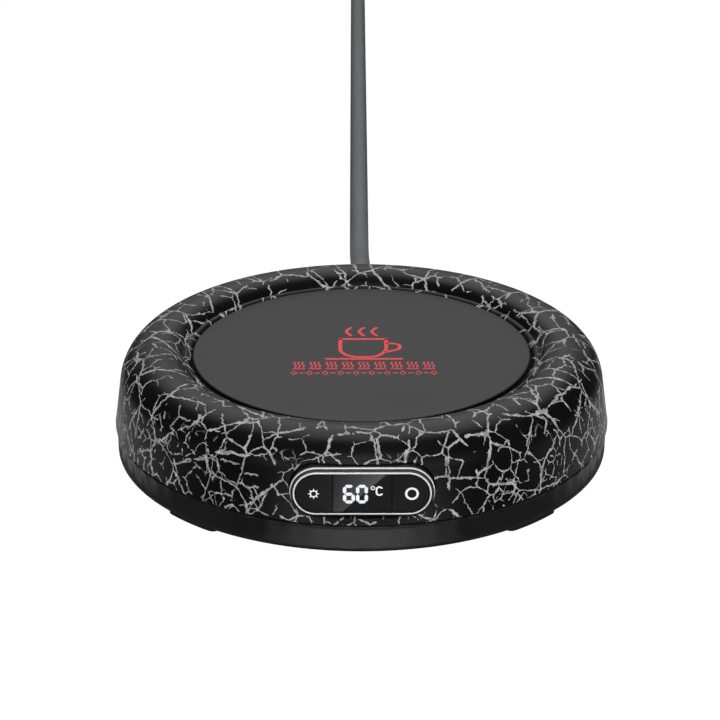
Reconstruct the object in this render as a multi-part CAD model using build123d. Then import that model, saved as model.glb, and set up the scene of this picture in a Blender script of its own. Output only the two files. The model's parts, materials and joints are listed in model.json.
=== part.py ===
from build123d import *

import math
import os

# Electric mug warmer, in millimetres. The origin is on the body's axis, level with the surface
# that the feet stand on. +Z is up, the display faces -Y and the cord leaves towards +Y.

# Clearances
seat_gap = 0.1  # between moulded pieces that locate in one another
key_gap = 0.15  # all round a key that moves
screw_gap = 0.05  # round a screw's shank
cut_margin = 1.0  # by which a cutting shape stands out of what it cuts

# Shares
round_share = 0.97  # of the half width that a nearly full rounding takes
bead_round_share = 0.45  # of the bezel bead's width that each of its edges' rounding takes
head_round_share = 0.45  # of a screw head's height that its rounding takes
recess_share = (1.1, 0.3, 0.5)  # length and width of a cross recess by head radius, depth by height
arc_share = 0.45  # of a cord's shorter run that a corner's arc takes

# Body, from the widest edge inwards to the plate
body_diameter = 130.0
shoulder_width = 12.0  # from the widest edge in to the rim's crest
slope_width = 6.1  # from the crest in to the bead
bead_width = 2.1
bead_height = 0.35
seal_width = 0.5  # between shell and plate
seal_recess = 1.0  # the seal's top lies this far below the plate's
plate_thickness = 4.0
plate_bevel = 0.4
rim_round = 10.4
rim_depth = 3.5  # from the crest down to the foot of the slope
plate_rise = 0.4  # the plate's top above the foot of the slope
overall_height = 30.0
wall = 2.2
parting_height = 8.7
parting_gap = 0.35

# Seat of the plate
ledge_width = 3.6
ledge_thickness = 1.6
flange_thickness = 1.2
flange_width = 1.9
heater_thickness = 1.0
heater_margin = 2.0  # between the heater's edge and the plate's bosses
heater_eye = 5.0
bracket_thickness = 0.8
bracket_inset = 4.0  # the bracket's round part inside the circle of its screws
lobe_width = 12.0
lobe_overlap = 2.8  # a lobe reaches this far under the ledge
bracket_boss_radius = 3.0
bracket_boss_gap = 1.0  # between the plate's bosses and the ledge
bracket_screw_angles = (30, 150, 270)

# Base
foot_height = 1.5
foot_recess = 0.6
foot_inset = 2.8  # the feet inside the body's widest radius
foot_width = 12.2
foot_angle = 17.0
foot_corner = 3.0
panel = 2.0
skirt_inset = 0.4  # the skirt's top inside the shell's edge
skirt_draft = 0.45  # how far the skirt leans in over its height
skirt_chamfer = 0.3
flute_count = 68
flute_depth = 0.12
lip_height = 2.0
lip_thickness = 1.4
lip_root = 2.0
lip_margin = 2.5  # beside what the lip is cut away for
corner_angles = (45, 135, 225, 315)
base_screw_inset = 9.5  # inside the body's widest radius
base_screw_radius = 1.45
base_screw_length = 14.0
base_head_radius = 2.8
base_head_height = 2.0
post_wall = 1.2
post_height = 4.2  # above the panel
shell_boss_radius = 3.6

# Electronics
board_standoff = 2.7
board_thickness = 1.6
case_edge = 1.0  # rounding of upright edges on large moulded parts
part_edge = 0.4
connector_edge = 0.5
small_edge = 0.3
board_inset_x = 30.0  # the board's ends inside the body's widest radius
board_inset_y = 38.0  # half its width inside the same radius
board_centre_y = 7.0
board_corner = 2.0
board_hole_inset_x = 5.0
board_hole_inset_y = 4.0
board_post_radius = 3.0
small_screw_radius = 1.0
small_head_radius = 2.0
small_head_height = 1.4
wire_radius = 0.8
sensor_wire_radius = 0.4
sensor_wire_pitch = 1.2
thermistor_radius = 2.5
fuse_radius = 1.8
fuse_length = 11.0
fuse_spot = (18.0, -8.0)
fuse_pin_radius = 0.4
fuse_pin_length = 3.0
clip_thickness = 0.5
clip_length = 5.0
clip_ear = 3.0
lead_inset = 9.0  # the heater's leads inside its edge
lead_row_y = 12.0
lead_connector_size = (8.0, 6.0, 6.0)
lead_pitch = 4.0
sensor_connector_size = (5.0, 4.0, 4.0)
transformer_spot = (20.0, 10.0)
transformer_size = (16.0, 14.0)
transformer_room = 2.0  # between the transformer and the heater's bracket
core_size = (10.0, 16.0)
core_drop = 3.5  # the core's top below the transformer's
tall_room = 3.0  # between the other tall parts and the heater's bracket
rear_row_inset = 7.0  # the film capacitor and the fuse, from the board's rear edge
film_capacitor_x = -14.0
film_capacitor_size = (13.0, 5.0)
smoothing_spot = (5.0, 13.0)
smoothing_radius = 4.0
smoothing_edge = 0.5
triac_spot = (-8.0, 12.0)
triac_size = (10.0, 4.4)
chip_spot = (-14.0, -8.0)
chip_size = (10.0, 4.0, 1.6)
line_fuse_x = 15.0
line_fuse_radius = 1.7
line_fuse_length = 11.0
line_fuse_cap_length = 2.5
line_fuse_cap_wall = 0.4
terminal_size = (12.0, 9.0)
terminal_inset = 1.0  # from the board's rear edge
terminal_pitch = 5.2
terminal_entry = 3.9  # height of the wire entries above the board
terminal_screw_radius = 1.6
terminal_screw_depth = 1.5
header_size = (10.0, 3.6, 5.0)
ribbon_width = 9.0
ribbon_thickness = 0.6
ribbon_bend = 2.5
ribbon_clearance = 1.9  # under the ribbon, above the panel

# Display pod, with distances to the front measured from the body's axis
display_height = 17.25
pod_length = 35.0
pod_height = 12.8
ring_width = 1.25
ring_bead_width = 0.6
ring_lip_width = 0.3
ring_lip_rise = 0.3  # above the groove's floor
ring_bead_rise = 1.1
ring_thickness = 0.5  # under the groove
pod_inset = 0.2  # the bead's crest behind the body's widest radius
lens_inset = 0.5  # the lens behind the bead's crest
frame_wall = 0.9
frame_flange = 1.5
frame_flange_thickness = 0.9
key_flange_thickness = 0.7
key_flange_gap = 0.1
key_length = 9.1  # from the joint to the window's end
key_travel = 0.4
stem_radius = 1.5
stem_length = 1.4
plunger_radius = 1.6
plunger_length = 1.8
plunger_depth = 1.0  # in the switch, at rest
switch_offset = 4.85  # from the joint to the middle of the switch
switch_side = 6.0
switch_thickness = 3.4
digit_module_margin_x = 0.5  # inside the joints
digit_module_margin_z = 0.8  # inside the pocket
display_board_overlap = 1.0  # beyond the pod's ends
display_board_inset = 0.4  # inside the pod's top and bottom
display_board_thickness = 1.6
display_bracket_height = 8.0
display_bracket_corner = 2.0
display_bracket_thickness = 1.5
display_screw_offset = 5.0  # beyond the pod's ends
display_boss_radius = 3.0
land_margin = 1.0  # of the flat land beyond the flange's ends
display_screw_length = 3.4

# Figures and signs
inlay_depth = 0.3
digit_width = 2.88
digit_height = 5.0
digit_stroke = 0.82
digit_joint = 0.14
digit_xs = (-3.2, -0.06)
digit_lift = -0.29
degree_spot = (2.57, 1.33)
degree_radius = 0.55
degree_stroke = 0.24
unit_spot = (4.12, 0.52)
unit_size = (1.8, 2.55)
unit_stroke = 0.42
unit_mouth = 1.3
sign_lift = -0.2
sun_offset = 4.53  # from the joint
sun_radius = 0.88
sun_stroke = 0.26
sun_rays = 8
ray_width = 0.52
ray_length = 0.55
ray_root = 0.1  # inside the sun's ring
power_offset = 4.78  # from the joint
power_radius = 1.66
power_stroke = 0.54

# Cord, its strain relief, the coil and the plug
cord_diameter = 6.0
relief_length = 30.0  # outside the body
relief_neck_wall = 1.0  # round the cord
relief_end_wall = 0.4
relief_flange_step = 0.6  # beyond the neck
relief_flange_thickness = 1.5
relief_grooves = 5
relief_groove_width = 1.6
relief_groove_depth = 0.4
inner_cord_length = 15.0
saddle_width = 8.0
clamp_length = 21.0
clamp_width = 6.0
clamp_thickness = 2.0
clamp_corner = 2.0
clamp_post_x = 7.5
clamp_post_radius = 2.6
core_pitch = 2.6
core_bend = 1.2
core_jog = 2.0  # half the length over which the cores spread
coil_centre = (45.7, 505.0)
coil_turn_radius = 31.7  # middle of the turns
coil_spread = 14.8  # between the middles of the inner and the outer turn
coil_slack = 0.2  # on two layers
coil_round = 2.4
tie_thickness = 0.6
tie_angle = 18.0
plug_length = 26.0
plug_width = 24.0
plug_thickness = 15.0
plug_tail_length = 12.0
plug_tail_wall = 0.9  # round the cord
plug_neck_wall = 2.1
plug_neck_spread = 3.0
plug_shoulder_share = 0.45  # of the length, up to the broad part
plug_corner_share = 0.35  # of the thickness
plug_edge = 1.0
blade_pitch = 12.7
blade_width = 6.35
blade_thickness = 1.5
blade_length = 17.0
blade_hole_radius = 1.5
blade_tip_share = 0.3  # of the thickness, off each edge of the tip
blade_hole_inset = 5.1  # from the tip
exit_run = 15.0  # level, behind the strain relief

# Radii and heights that follow from the values above
body_radius = body_diameter / 2
rim_radius = body_radius - shoulder_width
crease_radius = rim_radius - slope_width
opening_radius = crease_radius - bead_width
plate_radius = opening_radius - seal_width
ledge_inner = opening_radius - ledge_width
bracket_screw_circle = ledge_inner - bracket_boss_gap - bracket_boss_radius
bracket_radius = bracket_screw_circle - bracket_inset
heater_radius = bracket_screw_circle - bracket_boss_radius - heater_margin
base_screw_circle = body_radius - base_screw_inset
foot_inner = body_radius - foot_inset - foot_width
board_length = 2 * (body_radius - board_inset_x)
board_width = 2 * (body_radius - board_inset_y)
board_rear = board_centre_y + board_width / 2
board_front = board_centre_y - board_width / 2
film_capacitor_spot = (film_capacitor_x, board_rear - rear_row_inset)
line_fuse_spot = (line_fuse_x, board_rear - rear_row_inset)
lead_connector_spot = (lead_inset - heater_radius, lead_row_y)
terminal_front = board_rear - terminal_inset
header_y = board_front + header_size[1]
crease_height = overall_height - rim_depth
plate_top = crease_height + plate_rise
plate_bottom = plate_top - plate_thickness
ledge_top = plate_bottom - flange_thickness
ledge_bottom = ledge_top - ledge_thickness
bracket_bottom = ledge_bottom - bracket_thickness
heater_bottom = plate_bottom - heater_thickness
base_bottom = foot_height
panel_top = base_bottom + panel
base_top = parting_height - parting_gap
skirt_radius = body_radius - skirt_inset
skirt_inner = skirt_radius - skirt_draft - wall
board_bottom = panel_top + board_standoff
board_top = board_bottom + board_thickness
transformer_height = bracket_bottom - transformer_room - board_top
tall_height = bracket_bottom - tall_room - board_top
post_top = panel_top + post_height
exit_height = base_top
cord_radius = cord_diameter / 2
pod_front = body_radius - pod_inset
ring_back = pod_front - ring_bead_rise - ring_thickness
lens_front = pod_front - lens_inset
key_step = ring_back - key_flange_gap
key_back = key_step - key_flange_thickness
plunger_front = key_back - stem_length
switch_front = plunger_front - plunger_length + plunger_depth
display_board_front = switch_front - switch_thickness
display_board_back = display_board_front - display_board_thickness
frame_flange_front = display_board_front + frame_flange_thickness
window_length = pod_length - 2 * ring_width
window_height = pod_height - 2 * ring_width
joint_x = window_length / 2 - key_length
switch_x = joint_x + switch_offset
display_screw_x = pod_length / 2 + display_screw_offset
pocket_length = pod_length - 2 * frame_wall
pocket_height = pod_height - 2 * frame_wall
display_board_height = pod_height - 2 * display_board_inset
relief_neck_radius = cord_radius + relief_neck_wall
relief_end_radius = cord_radius + relief_end_wall
relief_flange_radius = relief_neck_radius + relief_flange_step
relief_end = body_radius + relief_length
coil_width = coil_spread + cord_diameter
coil_height = 2 * cord_diameter + coil_slack

# The route's points. The last one is where the cord joins the coil.
cord_route = [
    (0.0, relief_end, exit_height),
    (0.0, relief_end + exit_run, exit_height),
    (-0.4, 132.0, cord_radius),
    (-0.5, 470.0, cord_radius),
    (7.0, 510.0, cord_radius + tie_thickness),
]
end_route = [
    (45.7, 544.0, 9.2),
    (67.1, 544.23, plug_thickness / 2),
    (88.1, 539.0, plug_thickness / 2),
]


# Outlines of revolution. Each is drawn at a plan radius and a height.


def on_axis(radius, height):
    return (radius, 0.0, height)


def ring_of(*edges):
    return revolve(make_face(edges), Axis.Z)


def disc(radius, bottom, top, x=0.0, y=0.0):
    return Pos(x, y, bottom) * extrude(Circle(radius), amount=top - bottom)


def washer(outer, inner, bottom, top):
    return disc(outer, bottom, top) - disc(inner, bottom, top)


def block(size_x, size_y, bottom, top, x=0.0, y=0.0):
    return Pos(x, y, bottom) * extrude(Rectangle(size_x, size_y), amount=top - bottom)


def around(radius, angle):
    return radius * math.cos(math.radians(angle)), radius * math.sin(math.radians(angle))


def wall_lean():
    """The angle by which the outer wall leans in, from its tangent to the rim's rounding."""
    centre_height = overall_height - rim_round
    drop = centre_height - parting_height
    reach = math.hypot(shoulder_width, drop)
    return math.acos(rim_round / reach) - math.atan2(drop, shoulder_width)


def wall_top(depth=0.0):
    """Where the straight wall meets the rounding, on the face that lies depth inside."""
    lean = wall_lean()
    radius = rim_round - depth
    centre_height = overall_height - rim_round
    return rim_radius + radius * math.cos(lean), centre_height + radius * math.sin(lean)


def wall_radius(height, depth=0.0):
    """The plan radius of the wall at a height, on the face that lies depth inside."""
    radius, top = wall_top(depth)
    if height < top:
        return radius + (top - height) * math.tan(wall_lean())
    return rim_radius + math.sqrt((rim_round - depth) ** 2 - (height - overall_height + rim_round) ** 2)


def arc_through(centre, radius, start, end):
    """An arc in the plane of revolution, from one angle to another, in degrees."""
    points = []
    for angle in (start, (start + end) / 2, end):
        x, z = around(radius, angle)
        points.append(on_axis(centre[0] + x, centre[1] + z))
    return ThreePointArc(*points)


def rim_edges(depth):
    """The wall and the rounding up to the crest, on the face that lies depth inside."""
    lean = math.degrees(wall_lean())
    straight = Line(on_axis(wall_radius(parting_height, depth), parting_height), on_axis(*wall_top(depth)))
    rounding = arc_through((rim_radius, overall_height - rim_round), rim_round - depth, lean, 90)
    return [straight, rounding]


def slope_edge(depth):
    """The arc from the crest down to the crease, on the face that lies depth inside."""
    radius = (slope_width**2 + rim_depth**2) / (2 * rim_depth)
    centre = (rim_radius, overall_height - radius)
    foot_turn = math.degrees(math.atan2(crease_height - centre[1], -slope_width))
    return arc_through(centre, radius - depth, 90, foot_turn)


def envelope():
    """Everything under the shell's outer skin, to trim bosses and lands with."""
    slope = slope_edge(0)
    edges = rim_edges(0) + [slope]
    edges.append(Polyline(slope @ 1, on_axis(0, crease_height), on_axis(0, parting_height), edges[0] @ 0))
    return ring_of(*edges)


def skin():
    """The shell's plain ring, before its bosses and openings."""
    outer = rim_edges(0) + [slope_edge(0)]
    inner = rim_edges(wall) + [slope_edge(wall)]
    bead = ThreePointArc(
        outer[2] @ 1,
        on_axis(opening_radius + bead_width / 2, crease_height + bead_height),
        on_axis(opening_radius, crease_height),
    )
    throat = Polyline(
        bead @ 1,
        on_axis(opening_radius, ledge_top),
        on_axis(ledge_inner, ledge_top),
        on_axis(ledge_inner, ledge_bottom),
        on_axis(opening_radius + wall, ledge_bottom),
        on_axis(opening_radius + wall, crease_height - wall),
        inner[2] @ 1,
    )
    foot = Line(outer[0] @ 0, inner[0] @ 0)
    return ring_of(*outer, bead, throat, *inner, foot)


# Shapes that look to the front


def front_plane(distance, x=0.0, z=display_height):
    return Plane(origin=(x, -distance, z), x_dir=(1, 0, 0), z_dir=(0, -1, 0))


def front_slab(sketch, back, front, x=0.0, z=display_height):
    return extrude(front_plane(back, x, z) * sketch, amount=front - back)


def exit_bore(radius, near, far):
    """A round bar on the cord's line through the rear wall."""
    along = Plane(origin=(0, near, exit_height), x_dir=(1, 0, 0), z_dir=(0, 1, 0))
    return extrude(along * Circle(radius), amount=far - near)


# Fasteners


def screw(shank_radius, shank_length, head_radius, head_height):
    """A pan-head screw whose head lies below the origin and whose shank points up."""
    dome = Pos(0, 0, -head_height) * extrude(Circle(head_radius), amount=head_height)
    dome = fillet(dome.faces().sort_by(Axis.Z)[0].edges(), head_height * head_round_share)
    length_share, width_share, depth_share = recess_share
    slit = Rectangle(head_radius * length_share, head_radius * width_share)
    cross = slit + Rot(0, 0, 90) * slit
    recess = Pos(0, 0, -head_height) * extrude(cross, amount=head_height * depth_share)
    return dome - recess + extrude(Circle(shank_radius), amount=shank_length)


def group(solids):
    return Compound(children=list(solids))


# Upper shell and base


def upper_shell():
    within = envelope()
    shell = skin()
    hole_top = post_top + base_screw_length
    for angle in corner_angles:
        x, y = around(base_screw_circle, angle)
        shell += disc(shell_boss_radius, post_top + seat_gap, overall_height, x, y) & within
    flange_length, flange_height = pod_length + 2 * frame_flange, pod_height + 2 * frame_flange
    land = Rectangle(flange_length + 2 * land_margin, flange_height)
    shell += front_slab(land, frame_flange_front, body_radius) & within
    for x in (-display_screw_x, display_screw_x):
        shell += front_slab(Circle(display_boss_radius), display_board_back, body_radius, x) & within
    for angle in corner_angles:
        x, y = around(base_screw_circle, angle)
        shell -= disc(base_screw_radius + screw_gap, post_top, hole_top, x, y)
    for x in (-display_screw_x, display_screw_x):
        pilot = Circle(small_screw_radius + screw_gap)
        shell -= front_slab(pilot, display_board_back, display_board_back + display_screw_length, x)
    mouth = SlotOverall(pod_length + 2 * seat_gap, pod_height + 2 * seat_gap)
    shell -= front_slab(mouth, display_board_front, body_radius + cut_margin)
    pocket = SlotOverall(flange_length + 2 * seat_gap, flange_height + 2 * seat_gap)
    shell -= front_slab(pocket, display_board_front, frame_flange_front)
    return shell - exit_bore(relief_neck_radius + seat_gap, base_screw_circle, body_radius + cut_margin)


def fluted_face(ridge, height):
    """One level of the skirt: shallow hollows between evenly spaced ridges."""
    step = 360 / flute_count
    edges = []
    for index in range(flute_count):
        start, end = around(ridge, index * step), around(ridge, (index + 1) * step)
        middle = around(ridge - flute_depth, (index + 0.5) * step)
        edges.append(ThreePointArc(start, middle, end))
    return Pos(0, 0, height) * make_face(edges)


def fluted_block():
    foot = skirt_radius - skirt_draft
    levels = [
        fluted_face(foot - skirt_chamfer, base_bottom),
        fluted_face(foot, base_bottom + skirt_chamfer),
        fluted_face(skirt_radius, base_top),
    ]
    return loft(levels, ruled=True)


def register_lip():
    """The ring on the base that locates the shell, open at the cord's exit and at the display."""
    outer = wall_radius(base_top + lip_height, wall) - seat_gap
    ring = washer(outer, outer - lip_thickness, base_top - lip_root, base_top + lip_height)
    openings = (
        (2 * relief_flange_radius, skirt_inner - wall),
        (pod_length + 2 * frame_flange, -display_board_front),
    )
    for width, near in openings:
        depth = 2 * (outer - abs(near))
        middle = math.copysign(outer, near)
        ring -= block(width + 2 * lip_margin, depth, base_bottom, overall_height, 0, middle)
    return ring


def foot_pad(height):
    """An arc-shaped pad about the X axis, from the floor up."""
    half = foot_angle / 2
    outer = foot_inner + foot_width
    sides = [around(foot_inner, half), around(outer, half), around(foot_inner, -half), around(outer, -half)]
    edges = [
        Line(sides[0], sides[1]),
        ThreePointArc(sides[1], around(outer, 0), sides[3]),
        Line(sides[3], sides[2]),
        ThreePointArc(sides[2], around(foot_inner, 0), sides[0]),
    ]
    pad = extrude(make_face(edges), amount=height)
    return fillet(pad.edges().filter_by(Axis.Z), foot_corner)


def board_holes():
    for side_x in (-1, 1):
        for side_y in (-1, 1):
            x = side_x * (board_length / 2 - board_hole_inset_x)
            y = board_centre_y + side_y * (board_width / 2 - board_hole_inset_y)
            yield x, y


def clamp_y():
    return body_radius - wall - relief_flange_thickness - inner_cord_length / 2


def base_cover():
    base = fluted_block() - disc(skirt_inner, panel_top, base_top + cut_margin)
    base += register_lip()
    head_seat = panel_top + post_wall
    for angle in corner_angles:
        x, y = around(base_screw_circle, angle)
        base += disc(base_head_radius + seat_gap + post_wall, panel_top, post_top, x, y)
    for angle in corner_angles:
        x, y = around(base_screw_circle, angle)
        base -= disc(base_head_radius + seat_gap, base_bottom, head_seat, x, y)
        base -= disc(base_screw_radius + seat_gap, head_seat, post_top, x, y)
        base -= Rot(0, 0, angle) * Pos(0, 0, base_bottom) * foot_pad(foot_recess)
    for x, y in board_holes():
        base += disc(board_post_radius, panel_top, board_bottom, x, y)
        base -= disc(small_screw_radius + screw_gap, panel_top, board_bottom, x, y)
    saddle_top = exit_height - cord_radius
    clamp_seat = exit_height + cord_radius
    base += block(saddle_width, clamp_width, panel_top, saddle_top, 0, clamp_y())
    for x in (-clamp_post_x, clamp_post_x):
        base += disc(clamp_post_radius, panel_top, clamp_seat, x, clamp_y())
        base -= disc(small_screw_radius + screw_gap, panel_top, clamp_seat, x, clamp_y())
    return base - exit_bore(relief_neck_radius + seat_gap, skirt_inner - wall, body_radius + cut_margin)


# Heating plate and what lies under it


def heating_plate():
    plate = disc(plate_radius, plate_bottom, plate_top)
    plate = chamfer(plate.faces().sort_by(Axis.Z)[-1].edges(), plate_bevel)
    for angle in bracket_screw_angles:
        x, y = around(bracket_screw_circle, angle)
        plate += disc(bracket_boss_radius, ledge_bottom, plate_bottom, x, y)
        plate -= disc(small_screw_radius + screw_gap, ledge_bottom, plate_bottom + plate_thickness / 2, x, y)
    return plate


def plate_gasket():
    leg = washer(opening_radius, plate_radius, ledge_top, plate_top - seal_recess)
    return leg + washer(plate_radius, plate_radius - flange_width, ledge_top, plate_bottom)


def lead_spots():
    x, y = lead_connector_spot
    return (x - lead_pitch / 2, y), (x + lead_pitch / 2, y)


def heater_element():
    return washer(heater_radius, heater_eye, heater_bottom, plate_bottom)


def insulation_pad():
    pad = washer(heater_radius, heater_eye, ledge_bottom, heater_bottom)
    for x, y in lead_spots():
        pad -= disc(wire_radius + seat_gap, ledge_bottom, heater_bottom, x, y)
    return pad


def heater_bracket():
    bracket = disc(bracket_radius, bracket_bottom, ledge_bottom)
    reach = ledge_inner + lobe_overlap
    length = reach - bracket_radius + lobe_width
    lobe = extrude(SlotOverall(length, lobe_width), amount=bracket_thickness)
    for angle in bracket_screw_angles:
        x, y = around(bracket_screw_circle, angle)
        bracket += Rot(0, 0, angle) * Pos(reach - length / 2, 0, bracket_bottom) * lobe
        bracket -= disc(small_screw_radius + screw_gap, bracket_bottom, ledge_bottom, x, y)
    for x, y in lead_spots():
        bracket -= disc(wire_radius + seat_gap, bracket_bottom, ledge_bottom, x, y)
    return bracket - disc(sensor_wire_pitch, bracket_bottom, ledge_bottom)


def bracket_screws():
    length = ledge_bottom - bracket_bottom + flange_thickness + ledge_thickness + plate_thickness / 2
    one = screw(small_screw_radius, length - screw_gap, small_head_radius, small_head_height)
    for angle in bracket_screw_angles:
        x, y = around(bracket_screw_circle, angle)
        yield Pos(x, y, bracket_bottom) * one


def thermistor():
    return disc(thermistor_radius, ledge_bottom, plate_bottom)


def sensor_leads():
    foot = board_top + sensor_connector_size[2]
    for side in (-1, 1):
        yield disc(sensor_wire_radius, foot, ledge_bottom, side * sensor_wire_pitch / 2)


def heater_leads():
    foot = board_top + lead_connector_size[2]
    for x, y in lead_spots():
        yield disc(wire_radius, foot, heater_bottom, x, y)


def fuse_bar(radius, length):
    x, y = fuse_spot
    start = Plane(origin=(x - length / 2, y, bracket_bottom - fuse_radius), z_dir=(1, 0, 0))
    return extrude(start * Circle(radius), amount=length)


def thermal_fuse():
    return fuse_bar(fuse_radius, fuse_length) + fuse_bar(fuse_pin_radius, fuse_length + 2 * fuse_pin_length)


def fuse_clip():
    x, y = fuse_spot
    outer = fuse_radius + clip_thickness
    arch = fuse_bar(outer, clip_length)
    arch += block(clip_length, 2 * outer, bracket_bottom - fuse_radius, bracket_bottom, x, y)
    arch -= block(clip_length, 2 * fuse_radius, bracket_bottom - fuse_radius, bracket_bottom, x, y)
    ears = block(clip_length, 2 * (outer + clip_ear), bracket_bottom - clip_thickness, bracket_bottom, x, y)
    ears -= block(clip_length, 2 * fuse_radius, bracket_bottom - clip_thickness, bracket_bottom, x, y)
    top = block(clip_length, 2 * outer, bracket_bottom, bracket_bottom + outer, x, y)
    return arch - fuse_bar(fuse_radius, clip_length) + ears - top


# Boards and what is on them


def main_board():
    outline = RectangleRounded(board_length, board_width, board_corner)
    board = Pos(0, board_centre_y, board_bottom) * extrude(outline, amount=board_thickness)
    for x, y in board_holes():
        board -= disc(small_screw_radius + screw_gap, board_bottom, board_top, x, y)
    return board


def board_screws():
    length = board_thickness + board_standoff - 2 * screw_gap
    one = screw(small_screw_radius, length, small_head_radius, small_head_height)
    for x, y in board_holes():
        yield Pos(x, y, board_top) * Rot(180, 0, 0) * one


def on_board(size, spot, height, edge=part_edge):
    """A block that sits on the main board, with its upright edges rounded."""
    part = block(size[0], size[1], board_top, board_top + height, *spot)
    return fillet(part.edges().filter_by(Axis.Z), edge)


def transformer():
    bobbin = on_board(transformer_size, transformer_spot, transformer_height, case_edge)
    return bobbin + on_board(core_size, transformer_spot, transformer_height - core_drop)


def smoothing_capacitor():
    can = disc(smoothing_radius, board_top, board_top + tall_height, *smoothing_spot)
    return fillet(can.faces().sort_by(Axis.Z)[-1].edges(), smoothing_edge)


def line_fuse():
    """A glass tube that lies on its two end caps."""
    x, y = line_fuse_spot
    cap_radius = line_fuse_radius + line_fuse_cap_wall
    start = Plane(origin=(x - line_fuse_length / 2, y, board_top + cap_radius), z_dir=(1, 0, 0))
    glass = extrude(start * Circle(line_fuse_radius), amount=line_fuse_length)
    cap = extrude(start * Circle(cap_radius), amount=line_fuse_cap_length)
    return glass + cap + Pos(line_fuse_length - line_fuse_cap_length, 0, 0) * cap


def terminal_block():
    middle = terminal_front - terminal_size[1] / 2
    top = board_top + tall_height
    part = on_board(terminal_size, (0, middle), tall_height)
    for side in (-1, 1):
        x = side * terminal_pitch / 2
        part -= disc(terminal_screw_radius, top - terminal_screw_depth, top, x, middle)
    return part


def lead_connector():
    height = lead_connector_size[2]
    return on_board(lead_connector_size, lead_connector_spot, height, connector_edge)


def ribbon_header():
    return on_board(header_size, (0, header_y), header_size[2], small_edge)


def ribbon_cable():
    """A flat ribbon from the header to the lower edge of the display board."""
    start_y = header_y - header_size[1] / 2
    start_z = board_top + header_size[2] / 2
    end_y = -(display_board_back + display_board_thickness / 2)
    end_z = display_height - display_board_height / 2
    low_z = panel_top + ribbon_clearance + ribbon_thickness / 2
    third = (start_y - end_y) / 3
    path = FilletPolyline(
        (0, start_y, start_z),
        (0, start_y - third / 2, start_z),
        (0, start_y - third, low_z),
        (0, end_y, low_z),
        (0, end_y, end_z),
        radius=ribbon_bend,
    )
    section = Plane(origin=path @ 0, x_dir=(1, 0, 0), z_dir=path % 0)
    return sweep(section * Rectangle(ribbon_width, ribbon_thickness), path=path)


# Display pod


def key_outline(length, height, side):
    """One end of a stadium, from the joint outwards."""
    span = length / 2 - joint_x
    outline = SlotOverall(length - 2 * key_gap, height - 2 * key_gap)
    return outline & (Pos(side * (joint_x + key_gap / 2 + span / 2), 0) * Rectangle(span, height))


def window_outline(length, height):
    outline = SlotOverall(length - 2 * key_gap, height - 2 * key_gap)
    return outline & Rectangle(2 * joint_x - key_gap, height)


def bezel_ring():
    groove_floor = ring_back + ring_thickness
    opening = SlotOverall(window_length, window_height)
    whole = SlotOverall(pod_length, pod_height)
    lip_inner = SlotOverall(pod_length - 2 * ring_lip_width, pod_height - 2 * ring_lip_width)
    bead = SlotOverall(window_length + 2 * ring_bead_width, window_height + 2 * ring_bead_width)
    ring = front_slab(whole - opening, ring_back, groove_floor)
    ring += front_slab(whole - lip_inner, groove_floor, groove_floor + ring_lip_rise)
    round_bead = front_slab(bead - opening, groove_floor, pod_front)
    crest = round_bead.faces().sort_by(Axis.Y)[0].edges()
    return ring + fillet(crest, ring_bead_width * bead_round_share)


def display_frame():
    sleeve = front_slab(SlotOverall(pod_length, pod_height), display_board_front, ring_back)
    wide = SlotOverall(pod_length + 2 * frame_flange, pod_height + 2 * frame_flange)
    sleeve += front_slab(wide, display_board_front, frame_flange_front)
    return sleeve - front_slab(SlotOverall(pocket_length, pocket_height), display_board_front, ring_back)


def display_window():
    window = front_slab(window_outline(window_length, window_height), key_step, lens_front)
    window += front_slab(window_outline(pocket_length, pocket_height), key_back, key_step)
    for sign in digit_shapes():
        window -= front_slab(sign, lens_front - inlay_depth, lens_front)
    return window


def key(side, shapes):
    part = front_slab(key_outline(window_length, window_height, side), key_step, lens_front)
    part += front_slab(key_outline(pocket_length, pocket_height, side), key_back, key_step)
    part += front_slab(Circle(stem_radius), plunger_front, key_back, side * switch_x)
    for sign in shapes:
        part -= front_slab(sign, lens_front - inlay_depth, lens_front)
    return part


def inlays(shapes):
    for sign in shapes:
        yield front_slab(sign, lens_front - inlay_depth, lens_front)


def bar(length):
    """One pointed segment of a figure, lying level."""
    half, edge = length / 2, digit_stroke / 2
    upper = [(-half, 0), (-half + edge, edge), (half - edge, edge), (half, 0)]
    lower = [(half - edge, -edge), (-half + edge, -edge)]
    return make_face(Polyline(*upper, *lower, close=True))


def figure(segments, x):
    side = (digit_width - digit_stroke) / 2
    top = (digit_height - digit_stroke) / 2
    level = bar(2 * side - digit_joint)
    upright = Rot(0, 0, 90) * bar(top - digit_joint)
    places = {
        "a": (0, top, level),
        "b": (side, top / 2, upright),
        "c": (side, -top / 2, upright),
        "d": (0, -top, level),
        "e": (-side, -top / 2, upright),
        "f": (-side, top / 2, upright),
        "g": (0, 0, level),
    }
    for name in segments:
        right, up, shape = places[name]
        yield Pos(x + right, up + digit_lift) * shape


def digit_shapes():
    """The figures 60 and the degree sign and unit beside them."""
    shapes = list(figure("acdefg", digit_xs[0]))
    shapes += figure("abcdef", digit_xs[1])
    degree = Circle(degree_radius) - Circle(degree_radius - degree_stroke)
    shapes.append(Pos(*degree_spot) * degree)
    width, height = unit_size
    outer = RectangleRounded(width, height, width / 2 * round_share)
    hollow_width, hollow_height = width - 2 * unit_stroke, height - 2 * unit_stroke
    inner = RectangleRounded(hollow_width, hollow_height, hollow_width / 2 * round_share)
    mouth = Pos(width / 2, 0) * Rectangle(width, unit_mouth)
    shapes.append(Pos(*unit_spot) * (outer - inner - mouth))
    return shapes


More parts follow.
